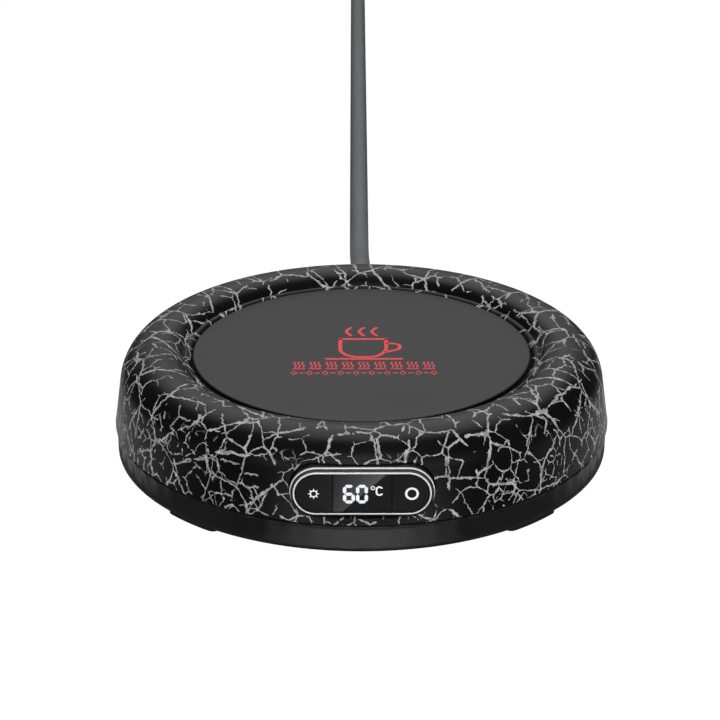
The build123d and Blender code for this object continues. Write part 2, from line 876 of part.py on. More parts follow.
def sun_shapes():
    """A small ring with a ray every 45 degrees."""
    shape = Circle(sun_radius) - Circle(sun_radius - sun_stroke)
    half = ray_width / 2
    root, tip = sun_radius - ray_root, sun_radius + ray_length
    ray = make_face(Polyline((root, half), (tip, 0), (root, -half), close=True))
    for index in range(sun_rays):
        shape += Rot(0, 0, index * 360 / sun_rays) * ray
    return [Pos(-joint_x - sun_offset, sign_lift) * shape]


def power_shapes():
    ring = Circle(power_radius) - Circle(power_radius - power_stroke)
    return [Pos(joint_x + power_offset, sign_lift) * ring]


def switch_body(side):
    body = front_slab(Rectangle(switch_side, switch_side), display_board_front, switch_front, side * switch_x)
    floor = plunger_front - plunger_length - key_travel - key_gap
    return body - front_slab(Circle(plunger_radius + key_gap), floor, switch_front, side * switch_x)


def plunger(side):
    return front_slab(Circle(plunger_radius), plunger_front - plunger_length, plunger_front, side * switch_x)


def digit_module():
    outline = Rectangle(2 * (joint_x - digit_module_margin_x), pocket_height - 2 * digit_module_margin_z)
    return front_slab(outline, display_board_front, key_back)


def display_board():
    outline = Rectangle(pod_length + 2 * display_board_overlap, display_board_height)
    return front_slab(outline, display_board_back, display_board_front)


def display_bracket():
    back = display_board_back - display_bracket_thickness
    length = 2 * (display_screw_x + display_boss_radius)
    outline = RectangleRounded(length, display_bracket_height, display_bracket_corner)
    plate = front_slab(outline, back, display_board_back)
    for x in (-display_screw_x, display_screw_x):
        plate -= front_slab(Circle(small_screw_radius + screw_gap), back, display_board_back, x)
    return plate


def display_screws():
    back = display_board_back - display_bracket_thickness
    length = display_bracket_thickness + display_screw_length - screw_gap
    one = screw(small_screw_radius, length, small_head_radius, small_head_height)
    for x in (-display_screw_x, display_screw_x):
        yield front_plane(back, x).location * one


# Feet and base screws


def foot(angle):
    return Rot(0, 0, angle) * foot_pad(foot_height + foot_recess)


def base_screws():
    head_seat = panel_top + post_wall
    length = post_top + base_screw_length - head_seat - screw_gap
    one = screw(base_screw_radius, length, base_head_radius, base_head_height)
    for angle in corner_angles:
        x, y = around(base_screw_circle, angle)
        yield Pos(x, y, head_seat) * one


# Cord


def relief_flange_front():
    """The flange lies against the inside of the skirt, which is curved, at the flange's sides."""
    return math.sqrt(skirt_inner**2 - relief_flange_radius**2) - screw_gap


def strain_relief():
    """A neck through the wall, a flange inside it and a ringed tail that tapers outside it."""
    flange_front = relief_flange_front()
    flange = exit_bore(relief_flange_radius, flange_front - relief_flange_thickness, flange_front)
    neck = exit_bore(relief_neck_radius, flange_front, body_radius)
    tail_plane = Plane(origin=(0, body_radius, exit_height), x_dir=(1, 0, 0), z_dir=(0, 1, 0))
    end_plane = tail_plane.offset(relief_length)
    tail = loft([tail_plane * Circle(relief_neck_radius), end_plane * Circle(relief_end_radius)])
    pitch = relief_length / (relief_grooves + 1)
    for index in range(relief_grooves):
        along = pitch * (index + 1)
        share = along / relief_length
        radius = relief_neck_radius + (relief_end_radius - relief_neck_radius) * share
        start = body_radius + along - relief_groove_width / 2
        floor = radius - relief_groove_depth
        cut = exit_bore(relief_neck_radius + cut_margin, start, start + relief_groove_width)
        tail -= cut - exit_bore(floor, start, start + relief_groove_width)
    return flange + neck + tail


def inner_cord_end():
    return relief_flange_front() - relief_flange_thickness - inner_cord_length


def inner_cord():
    return exit_bore(cord_radius, inner_cord_end(), relief_flange_front() - relief_flange_thickness)


def core_wires():
    end_y = terminal_front
    end_z = board_top + terminal_entry
    middle_y = (inner_cord_end() + end_y) / 2
    for side in (-1, 1):
        start_x, end_x = side * core_pitch / 2, side * terminal_pitch / 2
        path = FilletPolyline(
            (start_x, inner_cord_end(), exit_height),
            (start_x, middle_y + core_jog, exit_height),
            (end_x, middle_y - core_jog, end_z),
            (end_x, end_y, end_z),
            radius=core_bend,
        )
        section = Plane(origin=path @ 0, z_dir=path % 0) * Circle(wire_radius)
        yield sweep(section, path=path)


def cord_clamp():
    bottom = exit_height + cord_radius
    bar_part = block(clamp_length, clamp_width, bottom, bottom + clamp_thickness, 0, clamp_y())
    bar_part = fillet(bar_part.edges().filter_by(Axis.Z), clamp_corner)
    for x in (-clamp_post_x, clamp_post_x):
        bar_part -= disc(small_screw_radius + screw_gap, bottom, bottom + clamp_thickness, x, clamp_y())
    return bar_part


def clamp_screws():
    seat = exit_height + cord_radius + clamp_thickness
    length = seat - panel_top - 2 * screw_gap
    one = screw(small_screw_radius, length, small_head_radius, small_head_height)
    for x in (-clamp_post_x, clamp_post_x):
        yield Pos(x, clamp_y(), seat) * Rot(180, 0, 0) * one


def arc_radii(points):
    """Each corner's arc is as large as its two runs allow."""
    radii = []
    for before, corner, after in zip(points, points[1:], points[2:]):
        run_in, run_out = Vector(*corner) - Vector(*before), Vector(*after) - Vector(*corner)
        turn = math.radians(run_in.get_angle(run_out))
        radii.append(arc_share * min(run_in.length, run_out.length) / math.tan(turn / 2))
    return radii


def tube(points, name):
    radii = arc_radii(points)
    path = FilletPolyline(*points, radius=radii)
    section = Plane(origin=path @ 0, z_dir=path % 0) * Circle(cord_radius)
    made = sweep(section, path=path)
    share = made.volume / (math.pi * cord_radius**2 * path.length)
    print(name, "length", round(path.length, 1), "volume share", round(share, 4))
    print(name, "arc radii", [round(radius, 1) for radius in radii])
    return made


def coil_section(extra):
    outline = RectangleRounded(coil_width + 2 * extra, coil_height + 2 * extra, coil_round + extra)
    middle = tie_thickness + coil_height / 2
    return Plane.XZ * (Pos(coil_turn_radius, middle) * outline)


def coil_ring():
    return Pos(*coil_centre, 0) * revolve(coil_section(0), Axis.Z)


def coil_tie():
    band = revolve(coil_section(tie_thickness) - coil_section(0), Axis.Z, revolution_arc=tie_angle)
    return Pos(*coil_centre, 0) * Rot(0, 0, -tie_angle / 2) * band


def cord():
    return tube(cord_route, "cord") - coil_ring()


def cord_end():
    return tube(end_route, "cord_end") - coil_ring()


def plug_place():
    """The plug lies in line with the last run of its cord."""
    before, end = end_route[-2:]
    turn = math.degrees(math.atan2(end[1] - before[1], end[0] - before[0]))
    return Pos(*end) * Rot(0, 0, turn)


def plug_body():
    """A flat two-blade plug that lies on its broad side, tail first."""
    level = Plane(origin=(0, 0, 0), x_dir=(0, 1, 0), z_dir=(1, 0, 0))
    neck = level.offset(plug_tail_length)
    tail_radius, neck_radius = cord_radius + plug_tail_wall, cord_radius + plug_neck_wall
    shoulder = level.offset(plug_tail_length + plug_length * plug_shoulder_share)
    tail = loft([level * Circle(tail_radius), neck * Circle(neck_radius)])
    waist_width = 2 * neck_radius + plug_neck_spread
    waist = neck * RectangleRounded(waist_width, 2 * neck_radius, neck_radius * round_share)
    broad = shoulder * RectangleRounded(plug_width, plug_thickness, plug_thickness * plug_corner_share)
    body = loft([waist, broad])
    body += extrude(broad, amount=plug_length * (1 - plug_shoulder_share), dir=(1, 0, 0))
    front = body.faces().sort_by(Axis.X)[-1]
    return plug_place() * (fillet(front.edges(), plug_edge) + tail)


def plug_blades():
    start = plug_tail_length + plug_length
    for side in (-1, 1):
        blade = Box(blade_length, blade_thickness, blade_width, align=(Align.MIN, Align.CENTER, Align.CENTER))
        tip = blade.faces().sort_by(Axis.X)[-1].edges().filter_by(Axis.Z)
        blade = chamfer(tip, blade_thickness * blade_tip_share)
        hole = Rot(90, 0, 0) * Cylinder(blade_hole_radius, 2 * blade_thickness)
        hole = Pos(blade_length - blade_hole_inset, 0, 0) * hole
        yield plug_place() * Pos(start, side * blade_pitch / 2, 0) * (blade - hole)


def parts():
    """Every node by name. A list is a group of like pieces."""
    made = {
        "upper_shell": upper_shell(),
        "base_cover": base_cover(),
        "heating_plate": heating_plate(),
        "plate_gasket": plate_gasket(),
        "heater_element": heater_element(),
        "insulation_pad": insulation_pad(),
        "heater_bracket": heater_bracket(),
        "bracket_screws": group(bracket_screws()),
        "thermistor": thermistor(),
        "sensor_leads": group(sensor_leads()),
        "thermal_fuse": thermal_fuse(),
        "fuse_clip": fuse_clip(),
        "heater_leads": group(heater_leads()),
        "main_board": main_board(),
        "board_screws": group(board_screws()),
        "transformer": transformer(),
        "film_capacitor": on_board(film_capacitor_size, film_capacitor_spot, tall_height, case_edge),
        "smoothing_capacitor": smoothing_capacitor(),
        "line_fuse": line_fuse(),
        "triac": on_board(triac_size, triac_spot, tall_height),
        "control_chip": on_board(chip_size, chip_spot, chip_size[2], small_edge),
        "terminal_block": terminal_block(),
        "lead_connector": lead_connector(),
        "sensor_connector": on_board(sensor_connector_size, (0, 0), sensor_connector_size[2]),
        "ribbon_header": ribbon_header(),
        "ribbon_cable": ribbon_cable(),
        "bezel_ring": bezel_ring(),
        "display_frame": display_frame(),
        "display_window": display_window(),
        "digit_windows": group(inlays(digit_shapes())),
        "mode_key": key(-1, sun_shapes()),
        "mode_symbol": group(inlays(sun_shapes())),
        "mode_plunger": plunger(-1),
        "mode_switch": switch_body(-1),
        "power_key": key(1, power_shapes()),
        "power_symbol": group(inlays(power_shapes())),
        "power_plunger": plunger(1),
        "power_switch": switch_body(1),
        "digit_module": digit_module(),
        "display_board": display_board(),
        "display_bracket": display_bracket(),
        "display_screws": group(display_screws()),
        "base_screws": group(base_screws()),
        "strain_relief": strain_relief(),
        "inner_cord": inner_cord(),
        "core_wires": group(core_wires()),
        "cord_clamp": cord_clamp(),
        "clamp_screws": group(clamp_screws()),
        "cord": cord(),
        "cord_coil": coil_ring(),
        "coil_tie": coil_tie(),
        "cord_end": cord_end(),
        "plug_body": plug_body(),
        "plug_blades": group(plug_blades()),
    }
    feet = {"foot_rear_right": 45, "foot_rear_left": 135, "foot_front_left": 225, "foot_front_right": 315}
    for name, angle in feet.items():
        made[name] = foot(angle)
    return made


os.makedirs("parts", exist_ok=True)
for node, shape in parts().items():
    export_step(shape, os.path.join("parts", node + ".step"))
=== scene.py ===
import json
import math

import bmesh
import bpy
from mathutils import Matrix, Vector


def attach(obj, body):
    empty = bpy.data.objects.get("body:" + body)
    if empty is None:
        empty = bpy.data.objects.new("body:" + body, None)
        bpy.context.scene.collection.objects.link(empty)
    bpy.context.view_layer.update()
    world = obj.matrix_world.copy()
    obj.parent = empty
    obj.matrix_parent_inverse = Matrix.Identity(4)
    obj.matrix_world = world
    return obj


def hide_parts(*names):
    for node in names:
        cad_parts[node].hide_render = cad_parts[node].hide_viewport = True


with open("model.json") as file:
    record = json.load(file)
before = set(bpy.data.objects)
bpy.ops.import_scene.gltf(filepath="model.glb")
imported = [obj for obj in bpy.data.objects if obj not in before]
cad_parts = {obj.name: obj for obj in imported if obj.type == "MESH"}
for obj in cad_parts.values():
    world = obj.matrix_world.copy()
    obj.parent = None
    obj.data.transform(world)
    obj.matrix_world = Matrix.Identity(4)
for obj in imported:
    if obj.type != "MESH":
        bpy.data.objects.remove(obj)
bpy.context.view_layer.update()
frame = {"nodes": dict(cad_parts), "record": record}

# Sizes are in millimetres, as in the part's source, and turn into metres when a mesh is finished.
MM = 0.001

# Body
body_radius = 65.0
rim_radius = 53.0
crease_radius = 46.9
opening_radius = 44.8
overall_height = 30.0
crease_height = 26.5
rim_round = 10.4
rim_depth = 3.5
wall = 2.2
parting_height = 8.7
shell_edge = 0.35
bead_height = 0.35
bead_inset = 0.7  # from the slope's foot in to the bead's crest
bead_drop = 0.65  # the bead's inner edge below the slope's foot
bead_fall = 1.7  # how late the bead falls away
ledge_inner = 41.2
ledge_top = 21.7
ledge_bottom = 20.1
corner_angles = (45, 135, 225, 315)
base_screw_circle = 55.5
shell_boss_radius = 3.6
shell_boss_bottom = 7.8
shell_boss_top = 26.0

# Plate and seal
plate_radius = 44.3
plate_top = 26.9
plate_bottom = 22.9
plate_edge = 0.5
plate_rings = (20.0, 40.0)  # where the top is divided
plate_boss_radius = 3.0
plate_boss_circle = 37.2
plate_boss_angles = (30, 150, 270)
plate_boss_reach = 1.0  # into the plate
seal_top = 25.9
seal_dish = 0.35
seal_flange_inner = 42.4
print_bottom = plate_top - 0.05
print_top = plate_top + 0.03
print_middle = 0.6  # right of the plate's own middle

# Base
base_bottom = 1.2
base_top = 8.35
panel_top = 3.5
skirt_top_radius = 64.6
skirt_foot_radius = 64.5
skirt_inner = 61.95
skirt_edge = 0.85
flute_count = 68
flute_depth = 0.22
lip_outer = 62.4
lip_inner = 61.0
lip_top = 10.35
lip_root = 2.0
lip_gap_display = (43.0, 14.0)
lip_gap_cord = (14.0, 12.0)
post_radius = 4.1
post_bore = 1.55
post_top = 7.7
joined_depth = 0.5  # by which what stands on the panel reaches into it
panel_reach = 0.6  # by which the panel reaches into the skirt

# Feet
foot_inner = 50.0
foot_outer = 63.7
foot_angle = 15.5
foot_top = 1.5
foot_corner = 2.2
foot_edge = 0.25  # height of the bevel round the bottom
foot_bottom_share = 1 - foot_edge / foot_corner / 2  # the bottom's outline, as a share of the pad's
foot_places = {
    "foot_rear_right": 45,
    "foot_rear_left": 135,
    "foot_front_left": 227.3,
    "foot_front_right": 312.7,
}

# Display pod
display_height = 17.25
pod_length = 35.0
pod_height = 12.8
pod_half = (pod_length - pod_height) / 2  # from the pod's middle to its round ends' centres
pod_radius = pod_height / 2
ring_inner = 5.15
ring_front = 64.8
ring_back = 63.2
ring_lip_front = 64.0
ring_lip_width = 0.25
ring_lip_round = 0.08
ring_lip_draft = 0.02
ring_bead_width = 0.47
groove_front = 63.4
groove_round = 0.05
frame_wall = 0.9
frame_edge = 0.15
frame_back = 56.8
frame_flange = 1.5
frame_flange_front = 57.7
mouth_gap = 0.3
land_front = 60.2

# Cord and its strain relief
cord_radius = 3.0
exit_height = 8.35
exit_y = 65.5
exit_cut = (58.0, 68.0)  # the hole's ends, inside and outside the rear wall
relief_neck = 4.0
relief_end = 3.4
relief_length = 30.0
relief_grooves = 5
relief_groove_depth = 0.4
relief_groove_reach = 0.17  # half a groove's width, as a share of the grooves' spacing
relief_tip = (0.15, 0.35)  # round the cord and along it
relief_flange_radius = 4.6
relief_flange_back = 60.2
relief_flange_front = 61.7
coil_centre = (45.7, 505.0)
coil_start_angle = 172.6
coil_points_per_turn = 16
coil_inner = 24.3
coil_outer = 39.1
coil_last = 41.0  # where the upper layer ends
coil_low = 3.6
coil_high = 9.7
coil_climb = 0.3  # of a turn, from the lower layer to the upper one
coil_turns_down = 2.45
coil_turns_up = 2.779
spline_pull = 0.981  # of the radius at which the spline's control points lie

# Smoothness of the meshes
turn_steps = 256
cord_turn_steps = 64
wall_steps = 12
rounding_steps = 30
slope_steps = 16
post_steps = 48
arc_steps = 14
corner_steps = 6
pod_end_steps = 40
pod_side_steps = 24
bead_steps = 10
cap_steps = 8
merge_distance = 0.001
cutter_past = 3.0  # by which a cutter reaches past what it cuts
sharp_angle = 32.0

# Camera
camera_place = (-1.371, -587.318, 278.318)
camera_down = 23.396
camera_turn = -0.094
camera_roll = -0.043
focal_length_px = 2433.0
picture_width_px = 720.0
sensor_width = 36.0


def around(radius, angle):
    return radius * math.cos(math.radians(angle)), radius * math.sin(math.radians(angle))


def linked(name, data):
    """A new object in the scene."""
    made = bpy.data.objects.new(name, data)
    bpy.context.scene.collection.objects.link(made)
    return made


# Camera first, then the cord


def set_camera():
    """A long lens that looks down on the front of the warmer."""
    lens = bpy.data.cameras.new("studio_camera")
    lens.sensor_width = sensor_width
    lens.lens = focal_length_px * sensor_width / picture_width_px
    lens.clip_start = 0.01
    camera = linked("studio_camera", lens)
    aim = Matrix.Rotation(math.radians(camera_turn), 4, "Z")
    aim = aim @ Matrix.Rotation(math.radians(90 - camera_down), 4, "X")
    aim = aim @ Matrix.Rotation(math.radians(camera_roll), 4, "Z")
    camera.matrix_world = Matrix.Translation(Vector(camera_place) * MM) @ aim
    bpy.context.scene.camera = camera


def coil_turns():
    """Turns inward on the floor, then outward on top of them, about the coil's centre."""
    total = coil_turns_down + coil_turns_up
    count = round(total * coil_points_per_turn)
    points = []
    for index in range(1, count):
        turned_by = total * index / count
        if turned_by < coil_turns_down:
            radius = coil_outer + (coil_inner - coil_outer) * turned_by / coil_turns_down
        else:
            radius = coil_inner + (coil_last - coil_inner) * (turned_by - coil_turns_down) / coil_turns_up
        climb = min(1, max(0, (turned_by - coil_turns_down + coil_climb / 2) / coil_climb))
        x, y = around(radius / spline_pull, coil_start_angle - 360 * turned_by)
        points.append((coil_centre[0] + x, coil_centre[1] + y, coil_low + (coil_high - coil_low) * climb))
    return points


def cord_points():
    run = [
        (0.0, exit_y, exit_height),
        (0.0, 95.0, exit_height),
        (0.0, 110.0, exit_height),
        (-0.4, 132.0, cord_radius),
        (-0.4, 154.0, cord_radius),
        (-0.5, 429.0, cord_radius),
        (-0.5, 470.0, cord_radius),
        (7.0, 510.0, coil_low),
    ]
    tail = [(45.7, 546.0, 9.2), (67.1, 544.23, 7.5), (88.1, 539.0, 7.5)]
    return run + coil_turns() + tail


def mains_cord(material):
    curve = bpy.data.curves.new("mains_cord", "CURVE")
    curve.dimensions = "3D"
    curve.bevel_depth = cord_radius * MM
    curve.bevel_resolution = 6
    curve.resolution_u = 8
    curve.use_fill_caps = True
    spline = curve.splines.new("NURBS")
    points = cord_points()
    spline.points.add(len(points) - 1)
    for point, place in zip(spline.points, points):
        point.co = (place[0] * MM, place[1] * MM, place[2] * MM, 1.0)
    spline.order_u = 3
    spline.use_endpoint_u = True
    curve.materials.append(material)
    return linked("mains_cord", curve)


# Node helpers


def add_node(tree, kind, inputs=None, **settings):
    """Adds a node. Its inputs take numbers, colours or other nodes' outputs."""
    columns, width, height = 8, 190, 220
    made = tree.nodes.new(kind)
    made.location = (len(tree.nodes) % columns * width, -(len(tree.nodes) // columns) * height)
    for name, value in settings.items():
        setattr(made, name, value)
    for key, value in (inputs or {}).items():
        if isinstance(value, bpy.types.NodeSocket):
            tree.links.new(value, made.inputs[key])
        else:
            made.inputs[key].default_value = value
    return made


def feed(node, **sockets):
    """Links other nodes' outputs to a node's named inputs."""
    for label, socket in sockets.items():
        node.id_data.links.new(socket, node.inputs[label.replace("_", " ")])


def maths(tree, operation, first, second=0.0):
    return add_node(tree, "ShaderNodeMath", {0: first, 1: second}, operation=operation).outputs[0]


def times(tree, first, *others):
    for other in others:
        first = maths(tree, "MULTIPLY", first, other)
    return first


def plus(tree, first, *others):
    for other in others:
        first = maths(tree, "ADD", first, other)
    return first


def minus(tree, first, second):
    return maths(tree, "SUBTRACT", first, second)


def vector_maths(tree, operation, first, second=(0.0, 0.0, 0.0)):
    made = add_node(tree, "ShaderNodeVectorMath", {0: first, 1: second}, operation=operation)
    return made.outputs["Value" if operation == "DOT_PRODUCT" else "Vector"]


def scaled(tree, vector, factor):
    made = add_node(tree, "ShaderNodeVectorMath", {0: vector, "Scale": factor}, operation="SCALE")
    return made.outputs["Vector"]


def separated(tree, vector):
    return add_node(tree, "ShaderNodeSeparateXYZ", {0: vector}).outputs


def ramp(tree, value, low, high, to_low=0.0, to_high=1.0, smooth=True):
    """Maps low..high onto to_low..to_high."""
    kind = "SMOOTHSTEP" if smooth else "LINEAR"
    inputs = {"Value": value, "From Min": low, "From Max": high, "To Min": to_low, "To Max": to_high}
    return add_node(tree, "ShaderNodeMapRange", inputs, interpolation_type=kind).outputs["Result"]


def noise(tree, vector, scale, detail=2.0, roughness=0.5, output="Fac"):
    inputs = {"Vector": vector, "Scale": scale, "Detail": detail, "Roughness": roughness}
    return add_node(tree, "ShaderNodeTexNoise", inputs).outputs[output]


def mixed(tree, factor, first, second, kind="FLOAT"):
    """A value between two others."""
    inputs = {"Factor": factor, "A": first, "B": second}
    return add_node(tree, "ShaderNodeMix", inputs, data_type=kind).outputs["Result"]


def mixed_colour(tree, factor, first, second):
    """A colour between two others, each plain or another node's output."""
    ends = [(*colour, 1.0) if isinstance(colour, tuple) else colour for colour in (first, second)]
    return mixed(tree, factor, *ends, kind="RGBA")


def shader_group(name, inputs, outputs):
    """An empty node group with named sockets. An input without a value takes a vector."""
    group = bpy.data.node_groups.new(name, "ShaderNodeTree")
    for label, value in inputs.items():
        kind = "NodeSocketVector" if value is None else "NodeSocketFloat"
        socket = group.interface.new_socket(name=label, in_out="INPUT", socket_type=kind)
        if value is not None:
            socket.default_value = value
    for label in outputs:
        group.interface.new_socket(name=label, in_out="OUTPUT", socket_type="NodeSocketFloat")
    return group, group.nodes.new("NodeGroupInput").outputs, group.nodes.new("NodeGroupOutput")


# Effects that several finishes share. Scales are in cycles per metre.


def fine_grain_group():
    """Moulding grain with broad, faint changes of tone and gloss."""
    inputs = {"Vector": None, "Grain Scale": 3000.0, "Cloud Scale": 60.0}
    inputs.update({"Roughness Low": 0.4, "Roughness High": 0.55})
    group, given, result = shader_group("fine_grain", inputs, ("Tone", "Roughness", "Height"))
    grain = noise(group, given["Vector"], given["Grain Scale"])
    cloud = noise(group, given["Vector"], given["Cloud Scale"], 3.0)
    tone = ramp(group, plus(group, times(group, grain, 0.35), times(group, cloud, 0.65)), 0.35, 0.65)
    gloss = ramp(group, cloud, 0.3, 0.7, given["Roughness Low"], given["Roughness High"])
    feed(result, Tone=tone, Roughness=gloss, Height=grain)
    return group


def crackle_group():
    """A broken network of torn cracks, where a lacquer has shrunk into islands. Lengths are in metres."""
    inputs = {"Vector": None, "Shift": None, "Cells": 150.0, "Crack Width": 0.0004, "Breaks": 0.4}
    inputs.update({"Bend": 0.0008, "Kink": 0.0004, "Tear": 0.0002})
    bend_scale, kink_scale, tear_scale = 330.0, 1300.0, 4200.0
    swells_per_cell, gaps_per_cell = 1.3, 1.5
    group, given, result = shader_group("crackle_network", inputs, ("Mask",))
    place = vector_maths(group, "ADD", given["Vector"], given["Shift"])
    bent = place
    for label, scale in (("Bend", bend_scale), ("Kink", kink_scale)):
        sway = noise(group, place, scale, 1.0, output="Color")
        sway = vector_maths(group, "SUBTRACT", sway, (0.5, 0.5, 0.5))
        bent = vector_maths(group, "ADD", bent, scaled(group, sway, times(group, given[label], 2.0)))
    cells = add_node(
        group,
        "ShaderNodeTexVoronoi",
        {"Vector": bent, "Scale": given["Cells"], "Randomness": 1.0},
        feature="DISTANCE_TO_EDGE",
        voronoi_dimensions="2D",
    )
    away = maths(group, "DIVIDE", cells.outputs["Distance"], given["Cells"])
    torn = times(group, minus(group, noise(group, place, tear_scale), 0.5), given["Tear"])
    swell = noise(group, place, times(group, given["Cells"], swells_per_cell))
    gaps = noise(group, place, times(group, given["Cells"], gaps_per_cell), 1.0)
    taper = ramp(group, minus(group, gaps, given["Breaks"]), -0.01, 0.05)
    half = times(group, given["Crack Width"], ramp(group, swell, 0.3, 0.7, 0.3, 0.75))
    inside = minus(group, times(group, half, taper), plus(group, away, torn))
    feed(result, Mask=times(group, ramp(group, inside, -0.00002, 0.00005), ramp(group, taper, 0.05, 0.2)))
    return group


def drawn_lines_group():
    """Fine drawn lines along one direction, for sheet metal and turned rings."""
    inputs = {"Vector": None, "Stretch": None, "Roughness Low": 0.2, "Roughness High": 0.4}
    group, given, result = shader_group("drawn_lines", inputs, ("Tone", "Roughness", "Height"))
    lines = noise(group, vector_maths(group, "MULTIPLY", given["Vector"], given["Stretch"]), 1.0, 3.0, 0.6)
    tone = ramp(group, lines, 0.3, 0.7)
    gloss = ramp(group, lines, 0.3, 0.7, given["Roughness Low"], given["Roughness High"])
    feed(result, Tone=tone, Roughness=gloss, Height=lines)
    return group


effects = {"grain": fine_grain_group(), "crackle": crackle_group(), "drawn": drawn_lines_group()}


# Finishes. Colours are linear, gloss is the range of the roughness, and depths are in metres.


def grey(level, blue=0.0):
    """A grey with a little more blue in it."""
    return (level, level, level + blue)


def principled(name, colour, roughness, **constants):
    """A material with one Principled shader. Constants are set on the shader's own sockets."""
    material = bpy.data.materials.new(name)
    material.use_nodes = True
    tree = material.node_tree
    shader = tree.nodes["Principled BSDF"]
    shader.inputs["Base Color"].default_value = (*colour, 1.0)
    shader.inputs["Roughness"].default_value = roughness
    for label, value in constants.items():
        shader.inputs[label.replace("_", " ")].default_value = value
    material.diffuse_color = (*colour, 1.0)
    return material, tree, shader


def object_vector(tree):
    return add_node(tree, "ShaderNodeTexCoord").outputs["Object"]


def apply_effect(tree, effect, vector, gloss=None, **values):
    """The outputs of a shared effect on a pattern vector."""
    inputs = {"Vector": vector}
    if gloss:
        inputs.update({"Roughness Low": gloss[0], "Roughness High": gloss[1]})
    inputs.update({label.replace("_", " "): value for label, value in values.items()})
    return add_node(tree, "ShaderNodeGroup", inputs, node_tree=effects[effect]).outputs


def bump(tree, shader, height, strength, distance):
    inputs = {"Height": height, "Strength": strength, "Distance": distance}
    feed(shader, Normal=add_node(tree, "ShaderNodeBump", inputs).outputs["Normal"])


def patterned(name, effect, dark, light, gloss, depth, strength, constants, **values):
    """A finish whose tone, gloss and bumps come from one shared effect."""
    middle = tuple((a + b) / 2 for a, b in zip(dark, light))
    material, tree, shader = principled(name, middle, sum(gloss) / 2, **constants)
    out = apply_effect(tree, effect, object_vector(tree), gloss, **values)
    feed(shader, Base_Color=mixed_colour(tree, out["Tone"], dark, light), Roughness=out["Roughness"])
    if strength:
        bump(tree, shader, out["Height"], strength, depth)
    return material


def grained(name, dark, light, gloss, grain=3000.0, depth=0.00001, strength=0.3, cloud=60.0, **constants):
    """A moulded or coated finish."""
    scales = {"Grain_Scale": grain, "Cloud_Scale": cloud}
    return patterned(name, "grain", dark, light, gloss, depth, strength, constants, **scales)


def drawn(name, dark, light, gloss, stretch):
    """Metal with drawn lines. stretch is large across the lines."""
    return patterned(name, "drawn", dark, light, gloss, 0.00001, 0.2, {"Metallic": 1.0}, Stretch=stretch)


def crackle_lacquer():
    """Black satin lacquer, cracked into islands over a grey undercoat."""
    material, tree, shader = principled("crackle_lacquer", grey(0.005), 0.3)
    place = object_vector(tree)
    flat = add_node(tree, "ShaderNodeUVMap", uv_map="crackle_map").outputs["UV"]
    networks = []
    for cells, width, breaks, shift in (
        (116.0, 0.00042, 0.36, (0.0, 0.0, 0.0)),
        (205.0, 0.00032, 0.43, (0.31, 0.17, 0.05)),
        (380.0, 0.00026, 0.46, (0.07, 0.43, 0.11)),
    ):
        values = {"Cells": cells, "Crack_Width": width, "Breaks": breaks, "Shift": shift}
        networks.append(apply_effect(tree, "crackle", flat, **values)["Mask"])
    main, cross, fine = networks
    below_rim = ramp(tree, separated(tree, place)["Z"], 0.0265, 0.0235)
    patches = times(tree, ramp(tree, noise(tree, flat, 75.0, 1.0), 0.53, 0.56), below_rim)
    lines = maths(tree, "MAXIMUM", maths(tree, "MAXIMUM", main, cross), times(tree, fine, patches))
    undercoat = mixed_colour(tree, ramp(tree, noise(tree, place, 700.0), 0.3, 0.7), grey(0.23), grey(0.46))
    grain = apply_effect(tree, "grain", place, (0.27, 0.33), Grain_Scale=1600.0, Cloud_Scale=90.0)
    feed(
        shader,
        Base_Color=mixed_colour(tree, lines, grey(0.004, 0.0002), undercoat),
        Roughness=mixed(tree, lines, grain["Roughness"], 0.62),
    )
    bump(tree, shader, minus(tree, times(tree, grain["Height"], 0.12), lines), 0.3, 0.0001)
    return material


def lit_segments():
    """Translucent figures, lit from behind and a little uneven."""
    material, tree, shader = principled("lit_segments", grey(0.03, 0.005), 0.3, Emission_Strength=0.95)
    patch = ramp(tree, noise(tree, object_vector(tree), 1500.0), 0.35, 0.65)
    feed(shader, Emission_Color=mixed_colour(tree, patch, (0.85, 0.86, 1.0), (0.98, 0.98, 1.0)))
    return material


def satin_bezel():
    """Satin silver, with painted shade in the groove, on the inner edge and on the lip, lighter towards the
    top as if lit from above.
    """
    material, tree, shader = principled("bezel_satin", grey(0.84), 0.3, Metallic=0.1)
    lines = apply_effect(tree, "drawn", object_vector(tree), (0.25, 0.35), Stretch=(400.0, 3000.0, 400.0))
    silver = mixed_colour(tree, lines["Tone"], grey(0.80, 0.01), grey(0.88))
    # The groove attribute is painted shade: dark in the groove, on the inner edge and under the lip, lighter
    # towards the top.
    dark = add_node(tree, "ShaderNodeAttribute", attribute_name="groove").outputs["Fac"]
    feed(
        shader,
        Base_Color=mixed_colour(tree, dark, silver, grey(0.02)),
        Roughness=mixed(tree, dark, lines["Roughness"], 0.7),
    )
    return material


def coated_plate():
    """Dark satin coating on the top. The edge that drops into the gap is painted near-black and fully rough,
    as painted shade for the gap.
    """
    gap_shade_start, gap_shade_end = (plate_top - 0.08) * MM, (plate_top - 0.3) * MM
    material, tree, shader = principled("plate_coating", grey(0.022, 0.002), 0.39, Specular_IOR_Level=0.43)
    place = object_vector(tree)
    out = apply_effect(tree, "grain", place, (0.36, 0.42), Grain_Scale=5000.0, Cloud_Scale=40.0)
    # Painted shade: below the top, the coating turns near-black and fully rough where the edge drops into
    # the gap.
    edge = ramp(tree, separated(tree, place)["Z"], gap_shade_start, gap_shade_end)
    coat = mixed_colour(tree, out["Tone"], grey(0.020, 0.002), grey(0.024, 0.002))
    feed(
        shader,
        Base_Color=mixed_colour(tree, edge, coat, grey(0.002)),
        Roughness=mixed(tree, edge, out["Roughness"], 1.0),
    )
    bump(tree, shader, out["Height"], 0.3, 0.00001)
    return material


